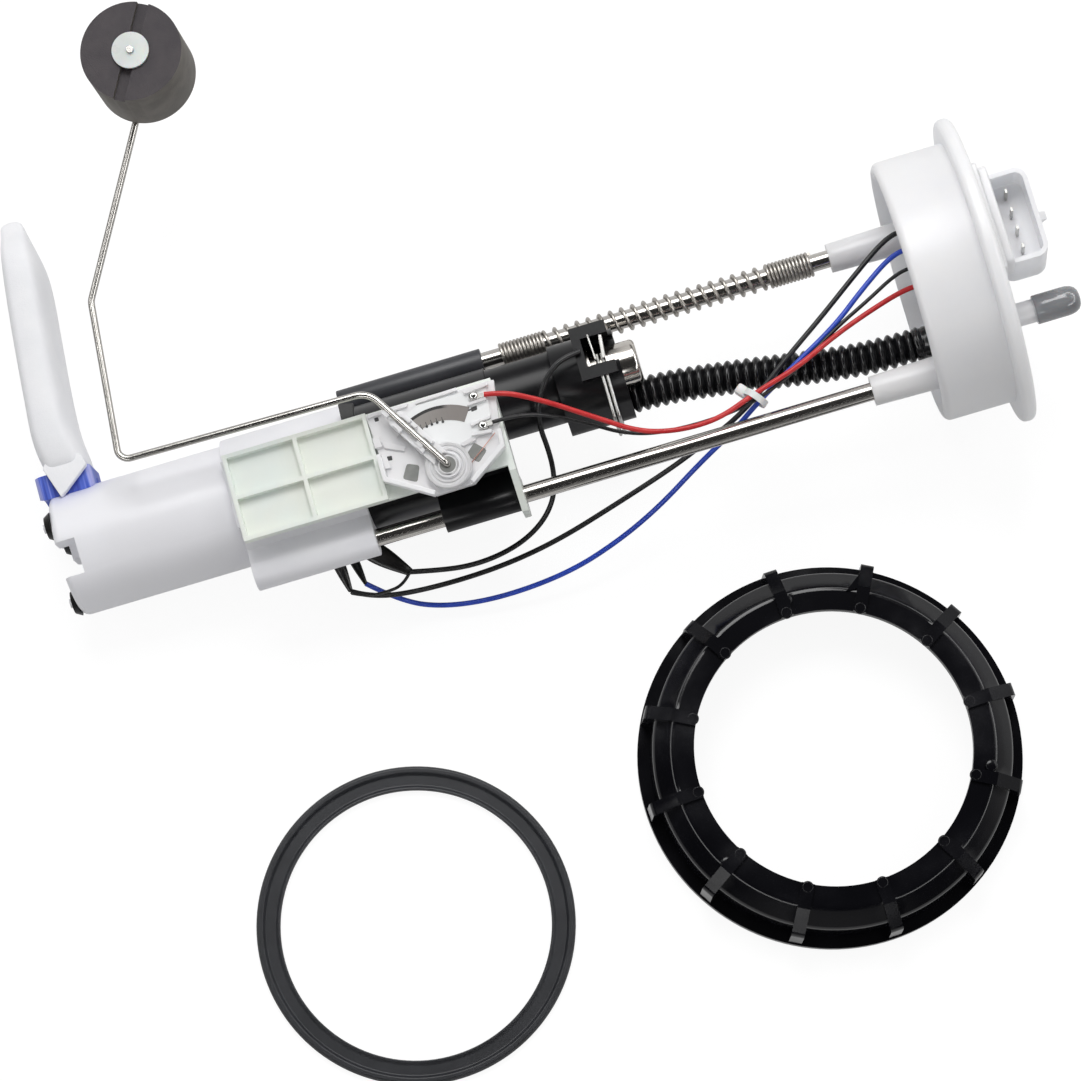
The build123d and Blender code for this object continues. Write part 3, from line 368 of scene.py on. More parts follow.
black = (0.0035, 0.0035, 0.0045)
finishes = {
    "flange": whiteFinish("flange"),
    "cup": cupFinish(),
    "bracket": whiteFinish("bracket"),
    "frame": whiteFinish("frame"),
    "plug": whiteFinish("plug"),
    "plate": plateFinish(),
    "collar": collarFinish(),
    "felt": feltFinish(),
    "foam": foamFinish(),
    "lock": lockFinish(),
    "track": trackFinish(),
    "gasket": varied(
        "gasketRubber", (0.011, 0.012, 0.015), (0.018, 0.019, 0.023), 0.46, grain=1400.0
    ),
    "holder": varied(
        "holderBlack",
        black,
        (0.0065, 0.0065, 0.0075),
        0.3,
        0.08,
        60.0,
        0.000004,
        **{"Specular IOR Level": 0.3},
    ),
    "tube": varied(
        "tubeGrey", (0.03, 0.031, 0.036), (0.042, 0.043, 0.049), 0.4, 0.08, 70.0, 0.000006
    ),
    "hose": varied("hoseNylon", black, (0.007, 0.007, 0.008), 0.2, 0.08, 120.0, 0.000004),
    "boot": varied("bootSleeve", (0.006, 0.006, 0.006), (0.014, 0.013, 0.012), 0.3, 0.1, 200.0),
    "cap": varied(
        "capVinyl",
        (0.21, 0.215, 0.225),
        (0.24, 0.245, 0.255),
        0.16,
        0.06,
        80.0,
        **{"Coat Weight": 0.3, "Subsurface Weight": 0.15, "Subsurface Scale": 0.003},
    ),
    "tie": varied(
        "tieNylon",
        (0.78, 0.79, 0.78),
        (0.83, 0.83, 0.82),
        0.3,
        **{"Subsurface Weight": 0.2, "Subsurface Scale": 0.002},
    ),
    "washer": varied(
        "washerNylon",
        (0.66, 0.66, 0.64),
        (0.74, 0.74, 0.72),
        0.28,
        **{"Subsurface Weight": 0.4, "Subsurface Scale": 0.003},
    ),
    "card": varied("cardCeramic", (0.82, 0.83, 0.83), (0.85, 0.86, 0.86), 0.5, grain=2500.0),
    # black for the sender's dots, and painted shade laid over its frame's holes
    "inkAndHoleShade": varied("inkAndHoleShadeBlack", (0.02, 0.02, 0.02), (0.035, 0.035, 0.035), 0.45, grain=2500.0),
    "window": varied("windowGrey", (0.19, 0.195, 0.185), (0.24, 0.245, 0.23), 0.4, scale=300.0),
    "impeller": varied("impellerPhenolic", (0.2, 0.11, 0.05), (0.26, 0.15, 0.07), 0.5),
    "ferrite": varied("magnetFerrite", (0.06, 0.06, 0.062), (0.09, 0.09, 0.09), 0.6),
}
wireColours = {
    "wireBlack": ((0.004, 0.004, 0.005), (0.009, 0.009, 0.01), 0.4),
    "wireBlue": ((0.018, 0.062, 0.5), (0.03, 0.085, 0.6), 0.34),
    "wireRed": ((0.52, 0.012, 0.016), (0.62, 0.03, 0.03), 0.36),
}
metals = {  # two colours, roughness, how close the marks lie along X, Y and Z, their depth
    "rodSteel": ((0.58, 0.56, 0.53), (0.5, 0.48, 0.455), 0.18, (40, 600, 600), 0),
    "springSteel": ((0.5, 0.475, 0.44), (0.4, 0.375, 0.345), 0.36, (500,) * 3, 5e-7),
    "floatWireSteel": ((0.5, 0.485, 0.46), (0.38, 0.365, 0.345), 0.24, (200, 200, 400), 0),
    "regulatorZinc": ((0.66, 0.63, 0.59), (0.54, 0.51, 0.47), 0.17, (500, 150, 150), 8e-7),
    "bladeTin": ((0.56, 0.56, 0.54), (0.46, 0.45, 0.43), 0.3, (400,) * 3, 0),
    "solderTin": ((0.7, 0.7, 0.69), (0.58, 0.58, 0.57), 0.16, (400,) * 3, 8e-7),
    "nutBlack": ((0.03, 0.03, 0.032), (0.06, 0.058, 0.055), 0.36, (800,) * 3, 3e-6),
    "contactAlloy": ((0.72, 0.62, 0.42), (0.62, 0.52, 0.36), 0.25, (900,) * 3, 3e-6),
    "brushCopper": ((0.78, 0.42, 0.34), (0.66, 0.36, 0.3), 0.3, (900,) * 3, 3e-6),
}
for key, values in wireColours.items():
    finishes[key] = varied(key, *values, 0.08, 150.0, 0.000001)
for key, values in metals.items():
    finishes[key] = plainMetal(key, *values)
print(len(finishes), "finishes made")

nodesOf = {  # the nodes that have each finish
    "flange": ["flange"],
    "bladeTin": ["connector_pins", "sender_terminals"],
    "plug": ["terminal_plugs"],
    "rodSteel": ["upper_guide_rod", "lower_guide_rod"],
    "nutBlack": ["rod_rings", "push_nuts"],
    "cup": ["pump_cup"],
    "bracket": ["clamp_bracket"],
    "holder": ["pump_holder", "regulator_housing", "pump_inlet_cover", "pump_end_cap"],
    "tube": ["upper_rod_tube"],
    "regulatorZinc": ["pressure_regulator", "pump_can"],
    "gasket": ["regulator_seal", "pump_isolator", "pump_outlet_hose", "seal_ring"],
    "plate": ["sender_plate"],
    "frame": ["sender_frame", "wiper_carrier"],
    "card": ["resistor_card"],
    "track": ["resistor_track"],
    "contactAlloy": ["wiper_contact"],
    "floatWireSteel": ["float_wire"],
    "foam": ["level_float"],
    "washer": ["float_washer"],
    "collar": ["strainer_collar"],
    "ferrite": ["pump_magnets", "pump_brushes"],
    "springSteel": ["pump_rotor"],
    "impeller": ["pump_impeller"],
    "lock": ["lock_ring"],
}
softEdges = {  # how far each moulded or pressed edge is rounded, in metres
    "flange": 0.0005,
    "pump_cup": 0.0006,
    "clamp_bracket": 0.0004,
    "pump_holder": 0.0004,
    "upper_rod_tube": 0.0003,
    "regulator_housing": 0.0004,
    "sender_plate": 0.0003,
    "sender_frame": 0.0003,
    "wiper_carrier": 0.0003,
    "level_float": 0.0006,
    "strainer_collar": 0.0005,
    "lock_ring": 0.0006,
    "seal_ring": 0.0003,
    "terminal_plugs": 0.0003,
    "pressure_regulator": 0.0003,
    "resistor_card": 0.0001,
    "sender_terminals": 0.0002,
}


fineEdge, broadEdge = 0.0002, 0.0006  # the same for the trim that is modelled here


def soften(piece, width):
    bevel = piece.modifiers.new("softEdges", "BEVEL")
    bevel.width = width
    bevel.segments = 2
    bevel.limit_method = "ANGLE"
    bevel.angle_limit = math.radians(38)


def dressNodes():
    for key, names in nodesOf.items():
        for name in names:
            nodes[name].data.materials.clear()
            nodes[name].data.materials.append(finishes[key].material)
    for name, width in softEdges.items():
        weld = nodes[name].modifiers.new("weld", "WELD")
        weld.merge_threshold = 0.000002
        soften(nodes[name], width)


dressNodes()
print("nodes dressed")

# Wires: the part's own routes, in the module's millimetres
plugX = [10.8 + 6.9 * step for step in (-1.5, -0.5, 0.5, 1.5)]
wires = {
    "black_wire": {
        "finish": "wireBlack",
        "slot": "wire_black",
        "radius": 0.95,
        "length": 248.5,
        "route": [
            (plugX[3], 4.6, -22.85),
            (plugX[3], 4.6, -27.0),
            (9.0, 6.6, -44.0),
            (-1.5, 8.0, -58.2),
            (-11.6, 9.0, -73.0),
            (-22.5, 8.6, -88.0),
            (-27.6, 3.6, -98.5),
            (-30.6, -2.4, -109.5),
            (-34.9, -7.4, -123.0),
            (-40.4, -13.6, -145.4),
            (-46.6, -17.4, -170.0),
            (-49.8, -18.0, -191.0),
            (-50.6, -17.6, -212.0),
            (-50.2, -14.0, -231.0),
            (-48.0, -9.6, -242.0),
            (-45.0, -8.4, -247.0),
        ],
    },
    "blue_wire": {
        "finish": "wireBlue",
        "slot": "wire_blue",
        "radius": 0.95,
        "length": 251.4,
        "route": [
            (plugX[2], 4.6, -22.85),
            (plugX[2], 4.6, -27.0),
            (4.6, 6.6, -41.0),
            (-5.5, 7.8, -53.9),
            (-15.0, 9.0, -71.0),
            (-24.8, 9.2, -88.2),
            (-30.8, 2.8, -99.0),
            (-36.4, -6.2, -113.5),
            (-45.4, -15.6, -131.6),
            (-52.0, -22.4, -149.2),
            (-57.4, -26.8, -170.0),
            (-58.8, -29.4, -196.0),
            (-56.4, -28.4, -217.0),
            (-51.0, -22.6, -231.6),
            (-42.6, -14.6, -241.6),
        ],
    },
    "sender_black_wire": {
        "finish": "wireBlack",
        "slot": "wire_black",
        "radius": 0.7,
        "length": 171.6,
        "route": [
            (plugX[1], 4.6, -22.85),
            (plugX[1], 4.6, -27.0),
            (-0.4, 7.0, -41.0),
            (-6.8, 9.0, -54.0),
            (-17.2, 10.0, -71.0),
            (-24.6, 11.5, -88.0),
            (-26.8, 12.6, -103.0),
            (-27.0, 13.6, -116.0),
            (-26.0, 15.0, -128.0),
            (-22.6, 16.2, -138.0),
            (-17.6, 18.0, -146.2),
            (-12.9, 20.6, -155.2),
            (-9.8, 24.6, -163.6),
            (-9.0, 29.4, -172.2),
            (-9.4, 31.1, -179.6),
        ],
    },
    "sender_red_wire": {
        "finish": "wireRed",
        "slot": "wire_red",
        "radius": 0.95,
        "length": 171.9,
        "route": [
            (plugX[0], 4.6, -22.85),
            (plugX[0], 4.6, -27.0),
            (-4.6, 8.0, -42.0),
            (-10.0, 10.2, -56.0),
            (-17.6, 13.0, -71.5),
            (-22.0, 12.4, -88.2),
            (-27.6, 15.2, -102.0),
            (-28.6, 17.4, -114.0),
            (-26.8, 18.6, -125.8),
            (-23.0, 19.6, -134.4),
            (-18.2, 21.2, -141.6),
            (-13.4, 23.6, -149.2),
            (-8.4, 26.6, -157.2),
            (-3.6, 29.6, -166.0),
            (-0.2, 31.2, -173.4),
            (1.0, 31.1, -179.8),
        ],
    },
    "regulator_wire": {
        "finish": "wireBlack",
        "slot": "wire_black",
        "radius": 0.95,
        "length": 126.5,
        "route": [
            (9.2, 18.4, -143.6),
            (8.4, 20.0, -149.6),
            (5.0, 19.8, -155.8),
            (-0.6, 18.2, -160.6),
            (-6.4, 14.8, -163.8),
            (-11.8, 9.8, -164.8),
            (-17.4, 4.0, -164.4),
            (-23.2, -0.8, -164.6),
            (-29.0, -4.4, -165.8),
            (-34.4, -8.0, -168.4),
            (-39.6, -11.2, -173.6),
            (-43.8, -13.4, -181.4),
            (-46.4, -14.2, -191.0),
            (-47.6, -12.8, -201.6),
            (-47.0, -9.6, -212.6),
            (-44.6, -7.0, -224.6),
        ],
    },
}
flexes = {"start": (0, 0, -30.0), "end": (0, 0, -225.0)}  # start and end heights, given to bend as its defaults


def routeCurve(name, points):
    curve = bpy.data.curves.new(name + "Route", "CURVE")
    curve.dimensions = "3D"
    spline = curve.splines.new("NURBS")
    spline.points.add(len(points) - 1)
    for point, place in zip(spline.points, points):
        point.co = (*at(*place), 1)
    spline.order_u = 3
    spline.use_endpoint_u = True
    curve.resolution_u = 10
    return bpy.data.objects.new(name + "Route", curve)


def tubeMesh(line, radius, resolution=4):
    line.data.bevel_depth = radius / 1000
    line.data.bevel_resolution = resolution
    line.data.use_fill_caps = True
    return bpy.data.meshes.new_from_object(line)


def addPiece(name, mesh, finish, body=None, standsFor=(), sharp=40):
    mesh.name = name
    mesh.materials.clear()
    mesh.materials.append(finishes[finish].material)
    mesh.shade_smooth()
    mesh.set_sharp_from_angle(angle=math.radians(sharp))
    piece = bpy.data.objects.new(name, mesh)
    bpy.context.scene.collection.objects.link(piece)
    if body:
        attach(piece, body)
    if standsFor:
        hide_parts(*standsFor)
    return piece


def bend(piece, low=flexes["start"], high=flexes["end"]):
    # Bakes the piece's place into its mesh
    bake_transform(piece)


def settle(bm, matrix=laid):
    # Faces outwards, then the shape is put in its place
    bmesh.ops.recalc_face_normals(bm, faces=bm.faces)
    bmesh.ops.transform(bm, matrix=matrix, verts=bm.verts)
    mesh = bpy.data.meshes.new("settled")
    bm.to_mesh(mesh)
    bm.free()
    return mesh


def rounded(points, soft):
    # The outline with each corner turned into a short curve
    made = []
    for before, corner, after in zip(points[-1:] + points[:-1], points, points[1:] + points[:1]):
        corner = Vector(corner)
        start = corner + (Vector(before) - corner).normalized() * soft
        end = corner + (Vector(after) - corner).normalized() * soft
        made += [start, start.lerp(corner, 0.5).lerp(end.lerp(corner, 0.5), 0.5), end]
    return made


def slab(bm, points, low, high, soft=0.0):
    # A flat piece of that outline between two heights
    points = rounded(points, soft) if soft else [Vector(point) for point in points]
    face = bm.faces.new([bm.verts.new((point.x, point.y, low)) for point in points])
    raised = bmesh.ops.extrude_face_region(bm, geom=[face])["geom"]
    top = [item for item in raised if isinstance(item, bmesh.types.BMVert)]
    bmesh.ops.translate(bm, vec=(0, 0, high - low), verts=top)


def lozenge(middle, size, turn=0.0):
    # Corner points of a rectangle
    (a, b), (w, h) = middle, size
    c, s = math.cos(turn), math.sin(turn)
    corners = [(-w / 2, -h / 2), (w / 2, -h / 2), (w / 2, h / 2), (-w / 2, h / 2)]
    return [(a + u * c - v * s, b + u * s + v * c) for u, v in corners]


def facing(start, end):
    # Z from start to end, Y towards the sender's side
    along = (Vector(end) - Vector(start)).normalized()
    side = Vector((0, 1, 0)).cross(along).normalized()
    axes = Matrix((side, along.cross(side), along)).transposed()
    return Matrix.Translation(start) @ axes.to_4x4()


def makeWires():
    for name, wire in wires.items():
        line = routeCurve(name, wire["route"])
        path = [tuple(vertex.co) for vertex in bpy.data.meshes.new_from_object(line).vertices]
        mesh = tubeMesh(line, wire["radius"])
        bm = bmesh.new()
        bm.from_mesh(mesh)
        bmesh.ops.remove_doubles(bm, verts=bm.verts, dist=0.000005)
        bmesh.ops.recalc_face_normals(bm, faces=bm.faces)
        bm.to_mesh(mesh)
        bm.free()
        own = name == "regulator_wire"
        piece = addPiece(
            name.replace("_wire", "Lead"),
            mesh,
            wire["finish"],
            "carriage" if own else None,
            (name,),
        )
        wire["length"] / 1000
        wire["radius"] / 500
        if not own:
            bend(piece)


makeWires()
print("wires laid")

# Return spring: one wire wound close at both ends and open between
springSet = {
    "axis": (23.0, -10.3),
    "low": -172.0,
    "radius": 4.05,
    "wire": 0.65,
    "runs": [(12, 17.0), (20, 83.7), (12, 17.0)],  # turns and height
    "closed": 20.0,  # a run that is lower than this is wound close
    "stepsPerTurn": 20,
    "top": -54.3,
}


def makeSpring(values):
    bm = bmesh.new()
    x, y = values["axis"]
    start = Matrix.Translation((x + values["radius"], y, values["low"] + values["wire"]))
    ring = bmesh.ops.create_circle(
        bm, segments=8, radius=values["wire"], matrix=start @ Matrix.Rotation(math.pi / 2, 4, "X")
    )
    geometry = ring["verts"] + bm.edges[:]
    for turns, height in values["runs"]:
        steps = turns * values["stepsPerTurn"]
        rise = (height - values["wire"] * (height < values["closed"])) / steps
        spun = bmesh.ops.spin(
            bm,
            geom=geometry,
            cent=(x, y, 0),
            axis=(0, 0, 1),
            dvec=(0, 0, rise),
            angle=math.tau * turns,
            steps=steps,
            use_merge=False,
            use_duplicate=False,
        )
        geometry = spun["geom_last"]
    bmesh.ops.holes_fill(bm, edges=[edge for edge in bm.edges if edge.is_boundary], sides=0)
    piece = addPiece(
        "returnSpring", settle(bm), "springSteel", None, ("return_spring",), 60
    )
    bend(piece, (x, y, values["top"]), (x, y, values["low"]))


makeSpring(springSet)

# Fuel hose: one corrugation, repeated along the part's own hose route
hoseSet = {
    "route": [
        (-6.4, -5.6, -130.95),
        (-6.4, -5.6, -118.0),
        (-11.6, -2.6, -88.0),
        (-17.0, -0.6, -60.0),
        (-19.2, 0.0, -40.0),
        (-19.2, 0.0, -13.0),
    ],
    "pitch": 3.44,
    "root": 4.5,
    "crest": 6.2,
    "fullness": 0.5,  # below 1 the crests are round and the roots narrow
    "steps": 16,
    "plain": 13.0,  # the route's length under the cuff
    "outlet": (-19.2, 0.0),
    "cuff": [  # radius and height
        (3.7, -29.0),
        (5.4, -29.0),
        (5.9, -28.4),
        (5.9, -26.8),
        (5.55, -26.4),
        (5.55, -25.4),
        (5.9, -25.0),
        (5.9, -13.5),
        (5.5, -13.0),
        (3.7, -13.0),
    ],
    "bends": [(-19.2, 0, -34.0), (-6.4, -5.6, -124.0)],
}


def spunPiece(bm, profile, steps=40, matrix=Matrix.Identity(4)):
    # Turns a chain of (radius, height) points round Z
    verts = [bm.verts.new((r, 0, z)) for r, z in profile]
    edges = [bm.edges.new(pair) for pair in zip(verts, verts[1:])]
    before = set(bm.verts) - set(verts)
    bmesh.ops.spin(
        bm,
        geom=verts + edges,
        cent=(0, 0, 0),
        axis=(0, 0, 1),
        angle=math.tau,
        steps=steps,
        use_merge=True,
    )
    made = [vertex for vertex in bm.verts if vertex not in before]
    bmesh.ops.remove_doubles(bm, verts=made, dist=0.00001)
    made = [vertex for vertex in bm.verts if vertex not in before]
    bmesh.ops.transform(bm, matrix=matrix, verts=made)


def makeHose(values):
    pitch, root, rise = values["pitch"], values["root"], values["crest"] - values["root"]
    guide = routeCurve("fuelHose", values["route"])
    bpy.context.scene.collection.objects.link(guide)
    legs = zip(values["route"], values["route"][1:])
    span = sum((Vector(end) - Vector(start)).length for start, end in legs)
    shape = []
    for step in range(values["steps"] + 1):
        share = step / values["steps"]
        swell = (0.5 - 0.5 * math.cos(math.tau * share)) ** values["fullness"]
        shape.append((root + rise * swell, pitch * share))
    bm = bmesh.new()
    spunPiece(bm, shape, 28)
    straight = bpy.data.objects.new("straightHose", settle(bm, Matrix.Scale(0.001, 4)))
    bpy.context.scene.collection.objects.link(straight)
    rows = straight.modifiers.new("rows", "ARRAY")
    rows.count = round((span - values["plain"]) / pitch)
    rows.use_relative_offset = False
    rows.use_constant_offset = True
    rows.constant_offset_displace = (0, 0, pitch / 1000)
    rows.use_merge_vertices = True
    rows.merge_threshold = 0.00001
    along = straight.modifiers.new("along", "CURVE")
    along.object = guide
    along.deform_axis = "POS_Z"
    bpy.context.view_layer.update()
    bent = straight.evaluated_get(bpy.context.evaluated_depsgraph_get())
    made = bpy.data.meshes.new_from_object(bent)
    bm = bmesh.new()
    bm.from_mesh(made)
    spunPiece(bm, values["cuff"], 40, laid @ Matrix.Translation((*values["outlet"], 0)))
    bm.to_mesh(made)
    bm.free()
    bpy.data.objects.remove(straight)
    bpy.data.objects.remove(guide)
    piece = addPiece("fuelHose", made, "hose", None, ("fuel_hose",), 50)
    bend(piece, *values["bends"])


makeHose(hoseSet)
print("spring and hose made")

# Strainer bag: a flat felt sleeve, sealed at its far end and folded to a point over the collar
bagSet = {
    "rings": [  # distance out from the cup's axis, centre z, half thickness, half width
        (23.5, -332.6, 7.0, 13.0),
        (24.6, -332.6, 7.7, 15.2),
        (30.0, -333.4, 7.9, 17.4),
        (37.0, -334.4, 7.6, 18.3),
        (48.0, -334.0, 7.1, 18.5),
        (67.0, -332.7, 7.1, 18.5),
        (86.0, -331.1, 7.1, 18.5),
        (99.0, -330.0, 6.9, 17.8),
        (107.0, -330.2, 6.0, 14.5),
        (112.5, -330.6, 5.2, 8.6),
        (117.0, -330.6, 4.4, 2.6),
        (121.5, -331.0, 4.0, 0.8),
    ],
    "around": 28,
    "square": 0.5,  # below 1 the section is flatter than an ellipse
    "fold": [(-338.6, 27.0), (-340.0, 25.0), (-336.0, 13.2), (-324.4, 22.4), (-325.6, 27.0)],
    "foldHeights": (11.3, 14.4),
    "foldCorner": 0.5,
    "fill": 0.45,
}


def makeBag(values):
    bm = bmesh.new()
    slab(bm, values["fold"], *values["foldHeights"], values["foldCorner"])
    fold = addPiece("bagFold", settle(bm, onSender), "felt", body="carriage", sharp=35)
    soften(fold, broadEdge)
    bm = bmesh.new()
    loops = []
    for x, z, thick, half in values["rings"]:
        verts = bmesh.ops.create_circle(bm, segments=values["around"], radius=1.0)["verts"]
        for vertex in verts:
            a, b = [math.copysign(abs(part) ** values["square"], part) for part in vertex.co.xy]
            vertex.co = (x, half * a, z + thick * b)
        loops.append(list({edge for vertex in verts for edge in vertex.link_edges}))
    for near, far in zip(loops, loops[1:]):
        bmesh.ops.bridge_loops(bm, edges=near + far)
    bmesh.ops.holes_fill(bm, edges=loops[0] + loops[-1], sides=0)
    piece = addPiece(
        "strainerBag", settle(bm), "felt", "carriage", ("strainer_bag",), 70
    )
    smooth = piece.modifiers.new("smooth", "SUBSURF")
    smooth.levels = smooth.render_levels = 2


makeBag(bagSet)
print("bag made")

# Cable tie: a flat band drawn round the four wires, with its head beside them
tieSet = {
    "low": (-19.8, 9.6, -84.3),
    "high": (-26.6, 9.4, -92.6),
    "band": (4.0, 4.6),
    "thick": 0.55,
    "width": 2.4,
    "head": (-5.4, -1.6, 0.4),
    "headSize": (5.2, 4.2, 4.0),
    "headSoft": 0.9,
}


def makeTie(values):
    bm = bmesh.new()
    radius, across = values["band"]
    out, half = radius + values["thick"], values["width"] / 2
    section = [(radius, -half), (out, -half), (out, half), (radius, half), (radius, -half)]
    spunPiece(bm, section, 32)
    bmesh.ops.scale(bm, vec=(1, across / radius, 1), verts=bm.verts)
    head = bmesh.ops.create_cube(bm, size=1.0)
    bmesh.ops.scale(bm, vec=values["headSize"], verts=head["verts"])
    bmesh.ops.translate(bm, vec=values["head"], verts=head["verts"])
    bmesh.ops.bevel(
        bm,
        geom=list({edge for vertex in head["verts"] for edge in vertex.link_edges}),
        offset=values["headSoft"],
        offset_type="OFFSET",
        affect="EDGES",
        segments=3,
        profile=0.5,
        material=-1,
    )
    middle = Vector(values["low"]).lerp(values["high"], 0.5)
    mesh = settle(bm, laid @ facing(middle, values["high"]))
    bend(addPiece("wireTie", mesh, "tie", None, ("cable_tie",), 35))


makeTie(tieSet)

# Flange: the stepped pad under the connector's socket
padSet = {
    "steps": [  # middle, size, low, high
        ((10.8, 21.2), (41.0, 24.6), 5.0, 8.4),
        ((10.8, 21.8), (37.0, 20.6), 8.0, 11.4),
    ],
    "corner": 3.4,
}


def makePad(values):
    bm = bmesh.new()
    for middle, size, low, high in values["steps"]:
        slab(bm, lozenge(middle, size), low, high, values["corner"])
    soften(addPiece("connectorPad", settle(bm), "flange", body="flange", sharp=35), broadEdge)


makePad(padSet)

# Vinyl cap: a tube with a domed, closed end
capSet = {
    "spot": (-19.2, 0.0, 15.5),
    "outline": [  # radius and height, from the open end over the dome and back inside
        (4.35, 0),
        (5.15, 0),
        (5.3, 0.3),
        (5.3, 11.0),
        (5.2, 12.6),
        (4.8, 14.2),
        (4.0, 15.5),
        (2.8, 16.3),
        (1.4, 16.6),
        (0.001, 16.65),
        (0.001, 14.4),
        (4.35, 13.6),
        (4.35, 0),
    ],
}


def makeCap(values):
    bm = bmesh.new()
    spunPiece(bm, values["outline"], 40)
    mesh = settle(bm, laid @ Matrix.Translation(values["spot"]))
    addPiece("outletCap", mesh, "cap", "outlet_cap", ("outlet_cap",), 50)


makeCap(capSet)

# Spring clip round the regulator's housing: two bright wires side by side
clipSet = {
    "route": [
        (7.0, 15.9),
        (-14.0, 15.9),
        (-17.0, 15.4),
        (-17.2, 12.0),
        (-17.2, -10.0),
        (-17.0, -13.4),
        (-14.0, -13.9),
        (7.0, -13.9),
    ],
    "heights": (-138.25, -136.55),
    "wire": 0.62,
}


def makeClip(values):
    bm = bmesh.new()
    for height in values["heights"]:
        line = routeCurve("clipWire", [(x, y, height) for x, y in values["route"]])
        bm.from_mesh(tubeMesh(line, values["wire"], 3))
    mesh = settle(bm, Matrix.Identity(4))
    addPiece("regulatorClip", mesh, "bladeTin", "carriage", ("regulator_clip",), 50)


makeClip(clipSet)

# Heat-shrink boots: flattened leaves, each from its hole in the bracket to its wire
bootSet = {
    "leaves": [  # start, end, half width, half thickness
        ((-29.6, -6.5, -239.2), (-45.2, -7.0, -224.0), 3.9, 1.3),
        ((-28.8, -7.6, -249.3), (-45.3, -8.4, -247.0), 2.3, 1.6),
        ((-27.2, -13.0, -244.6), (-42.9, -14.6, -241.6), 1.9, 1.6),
    ],
    "shape": [  # share of the width at each share of the length
        (0.4, 0),
        (0.8, 0.06),
        (1, 0.2),
        (1, 0.38),
        (0.86, 0.58),
        (0.6, 0.8),
        (0.42, 0.94),
        (0.36, 1),
    ],
    "loop": [
        (-45.0, -7.0, -224.9),
        (-48.4, -7.6, -228.1),
        (-49.0, -8.6, -234.8),
        (-48.2, -9.6, -242.0),
        (-45.7, -8.6, -247.0),
    ],
    "loopRadius": 0.62,
}


def makeBoots(values):
    bm = bmesh.new()
    for start, end, wide, thick in values["leaves"]:
        length = (Vector(end) - Vector(start)).length
        leaf = bmesh.new()
        profile = [(share * wide, place * length) for share, place in values["shape"]]
        spunPiece(leaf, profile, 20)
        bmesh.ops.scale(leaf, vec=(1, thick / wide, 1), verts=leaf.verts)
        openEdges = [edge for edge in leaf.edges if edge.is_boundary]
        bmesh.ops.holes_fill(leaf, edges=openEdges, sides=0)
        bm.from_mesh(settle(leaf, facing(start, end)))
    loop = tubeMesh(routeCurve("bootLoop", values["loop"]), values["loopRadius"])
    loop.transform(laid.inverted())
    bm.from_mesh(loop)
    piece = addPiece("wireBoots", settle(bm), "boot", "carriage", ("wire_boots",), 60)
    smooth = piece.modifiers.new("smooth", "SUBSURF")
    smooth.levels = smooth.render_levels = 1


makeBoots(bootSet)
print("tie and boots made")

# Sender: what the drawing leaves plain on its frame, in (z, x) millimetres at heights along Y
senderSet = {
    "whites": [  # outline, low, high
        ([(-221.6, 4.9), (-207.0, 4.9), (-206.4, 6.3), (-221.2, 6.3)], 28.8, 30.3),
        ([(-204.2, 4.9), (-188.4, 5.4), (-188.6, 6.6), (-203.8, 6.2)], 28.8, 30.3),
        ([(-186.6, 3.2), (-177.6, 3.9), (-177.4, 5.5), (-186.6, 5.2)], 28.8, 31.0),
        ([(-222.0, -2.4), (-219.4, -2.6), (-219.2, -6.4), (-222.0, -6.4)], 28.8, 30.4),
        ([(-221.8, -10.0), (-218.8, -10.4), (-218.2, -14.6), (-221.4, -14.4)], 28.8, 30.6),
        ([(-214.8, 2.4), (-211.0, 3.0), (-209.6, -2.8), (-213.6, -4.6)], 28.8, 30.0),
        ([(-219.0, -4.4), (-211.2, -8.6), (-212.2, -10.2), (-218.8, -7.0)], 28.8, 30.0),
        ([(-186.6, -0.2), (-179.6, 0.2), (-179.4, -0.9), (-186.4, -1.3)], 29.5, 31.2),
        ([(-187.4, -7.4), (-179.8, -6.6), (-179.8, -7.7), (-187.2, -8.6)], 29.5, 31.2),
        ([(-187.6, -10.8), (-180.4, -11.6), (-180.8, -12.8), (-188.0, -12.0)], 28.8, 31.2),
        ([(-192.6, -13.2), (-187.0, -12.4), (-186.8, -13.6), (-192.0, -14.6)], 28.8, 30.2),
    ],
    # dark slabs; the first two are painted shade laid over the frame's holes
    "darks": [
        ([(-219.5, 4.6), (-218.0, 4.6), (-218.0, 3.2), (-219.5, 3.2)], 28.9, 29.04),
        ([(-218.8, -10.0), (-217.0, -10.2), (-217.2, -11.8), (-218.9, -11.6)], 28.9, 29.04),
        ([(-185.6, -1.9), (-183.4, -1.7), (-183.6, -3.2), (-185.8, -3.4)], 29.6, 29.76),
        ([(-188.2, -2.2), (-185.6, -2.3), (-185.6, -2.8), (-188.2, -2.9)], 29.6, 29.74),
        ([(-230.9, 14.4), (-225.6, 13.3), (-227.2, 7.2), (-231.2, 8.2)], 22.0, 24.3),
    ],
    "corner": 0.25,
    "dots": [(-204.3, -4.3), (-202.3, -3.9), (-200.4, -3.7), (-198.4, -3.6), (-196.4, -3.9)],
    "dot": (0.5, 29.9),  # radius, height
    "tail": (0.9, (0.22, 1.6), 29.86, 29.89),  # how far off, size, low, high
    "windows": [
        [(-212.7, -14.5), (-208.5, -16.4), (-210.8, -22.0), (-215.5, -19.4)],
        [(-187.9, -14.0), (-184.2, -18.0), (-188.2, -21.6), (-191.7, -17.6)],
    ],
    "windowHeights": (28.9, 29.05),
    "windowCorner": 0.9,
    "brush": ((-13.1, 30.2, -179.8), (-22.3, 29.4, -192.6), 0.16),  # start, end, radius
    "balls": [(-183.6, 1.7), (-183.2, -9.4)],
    "ball": (1.75, 31.1),  # radius, height
    "ballShares": (1.05, 0.95, 0.7, 1),
}


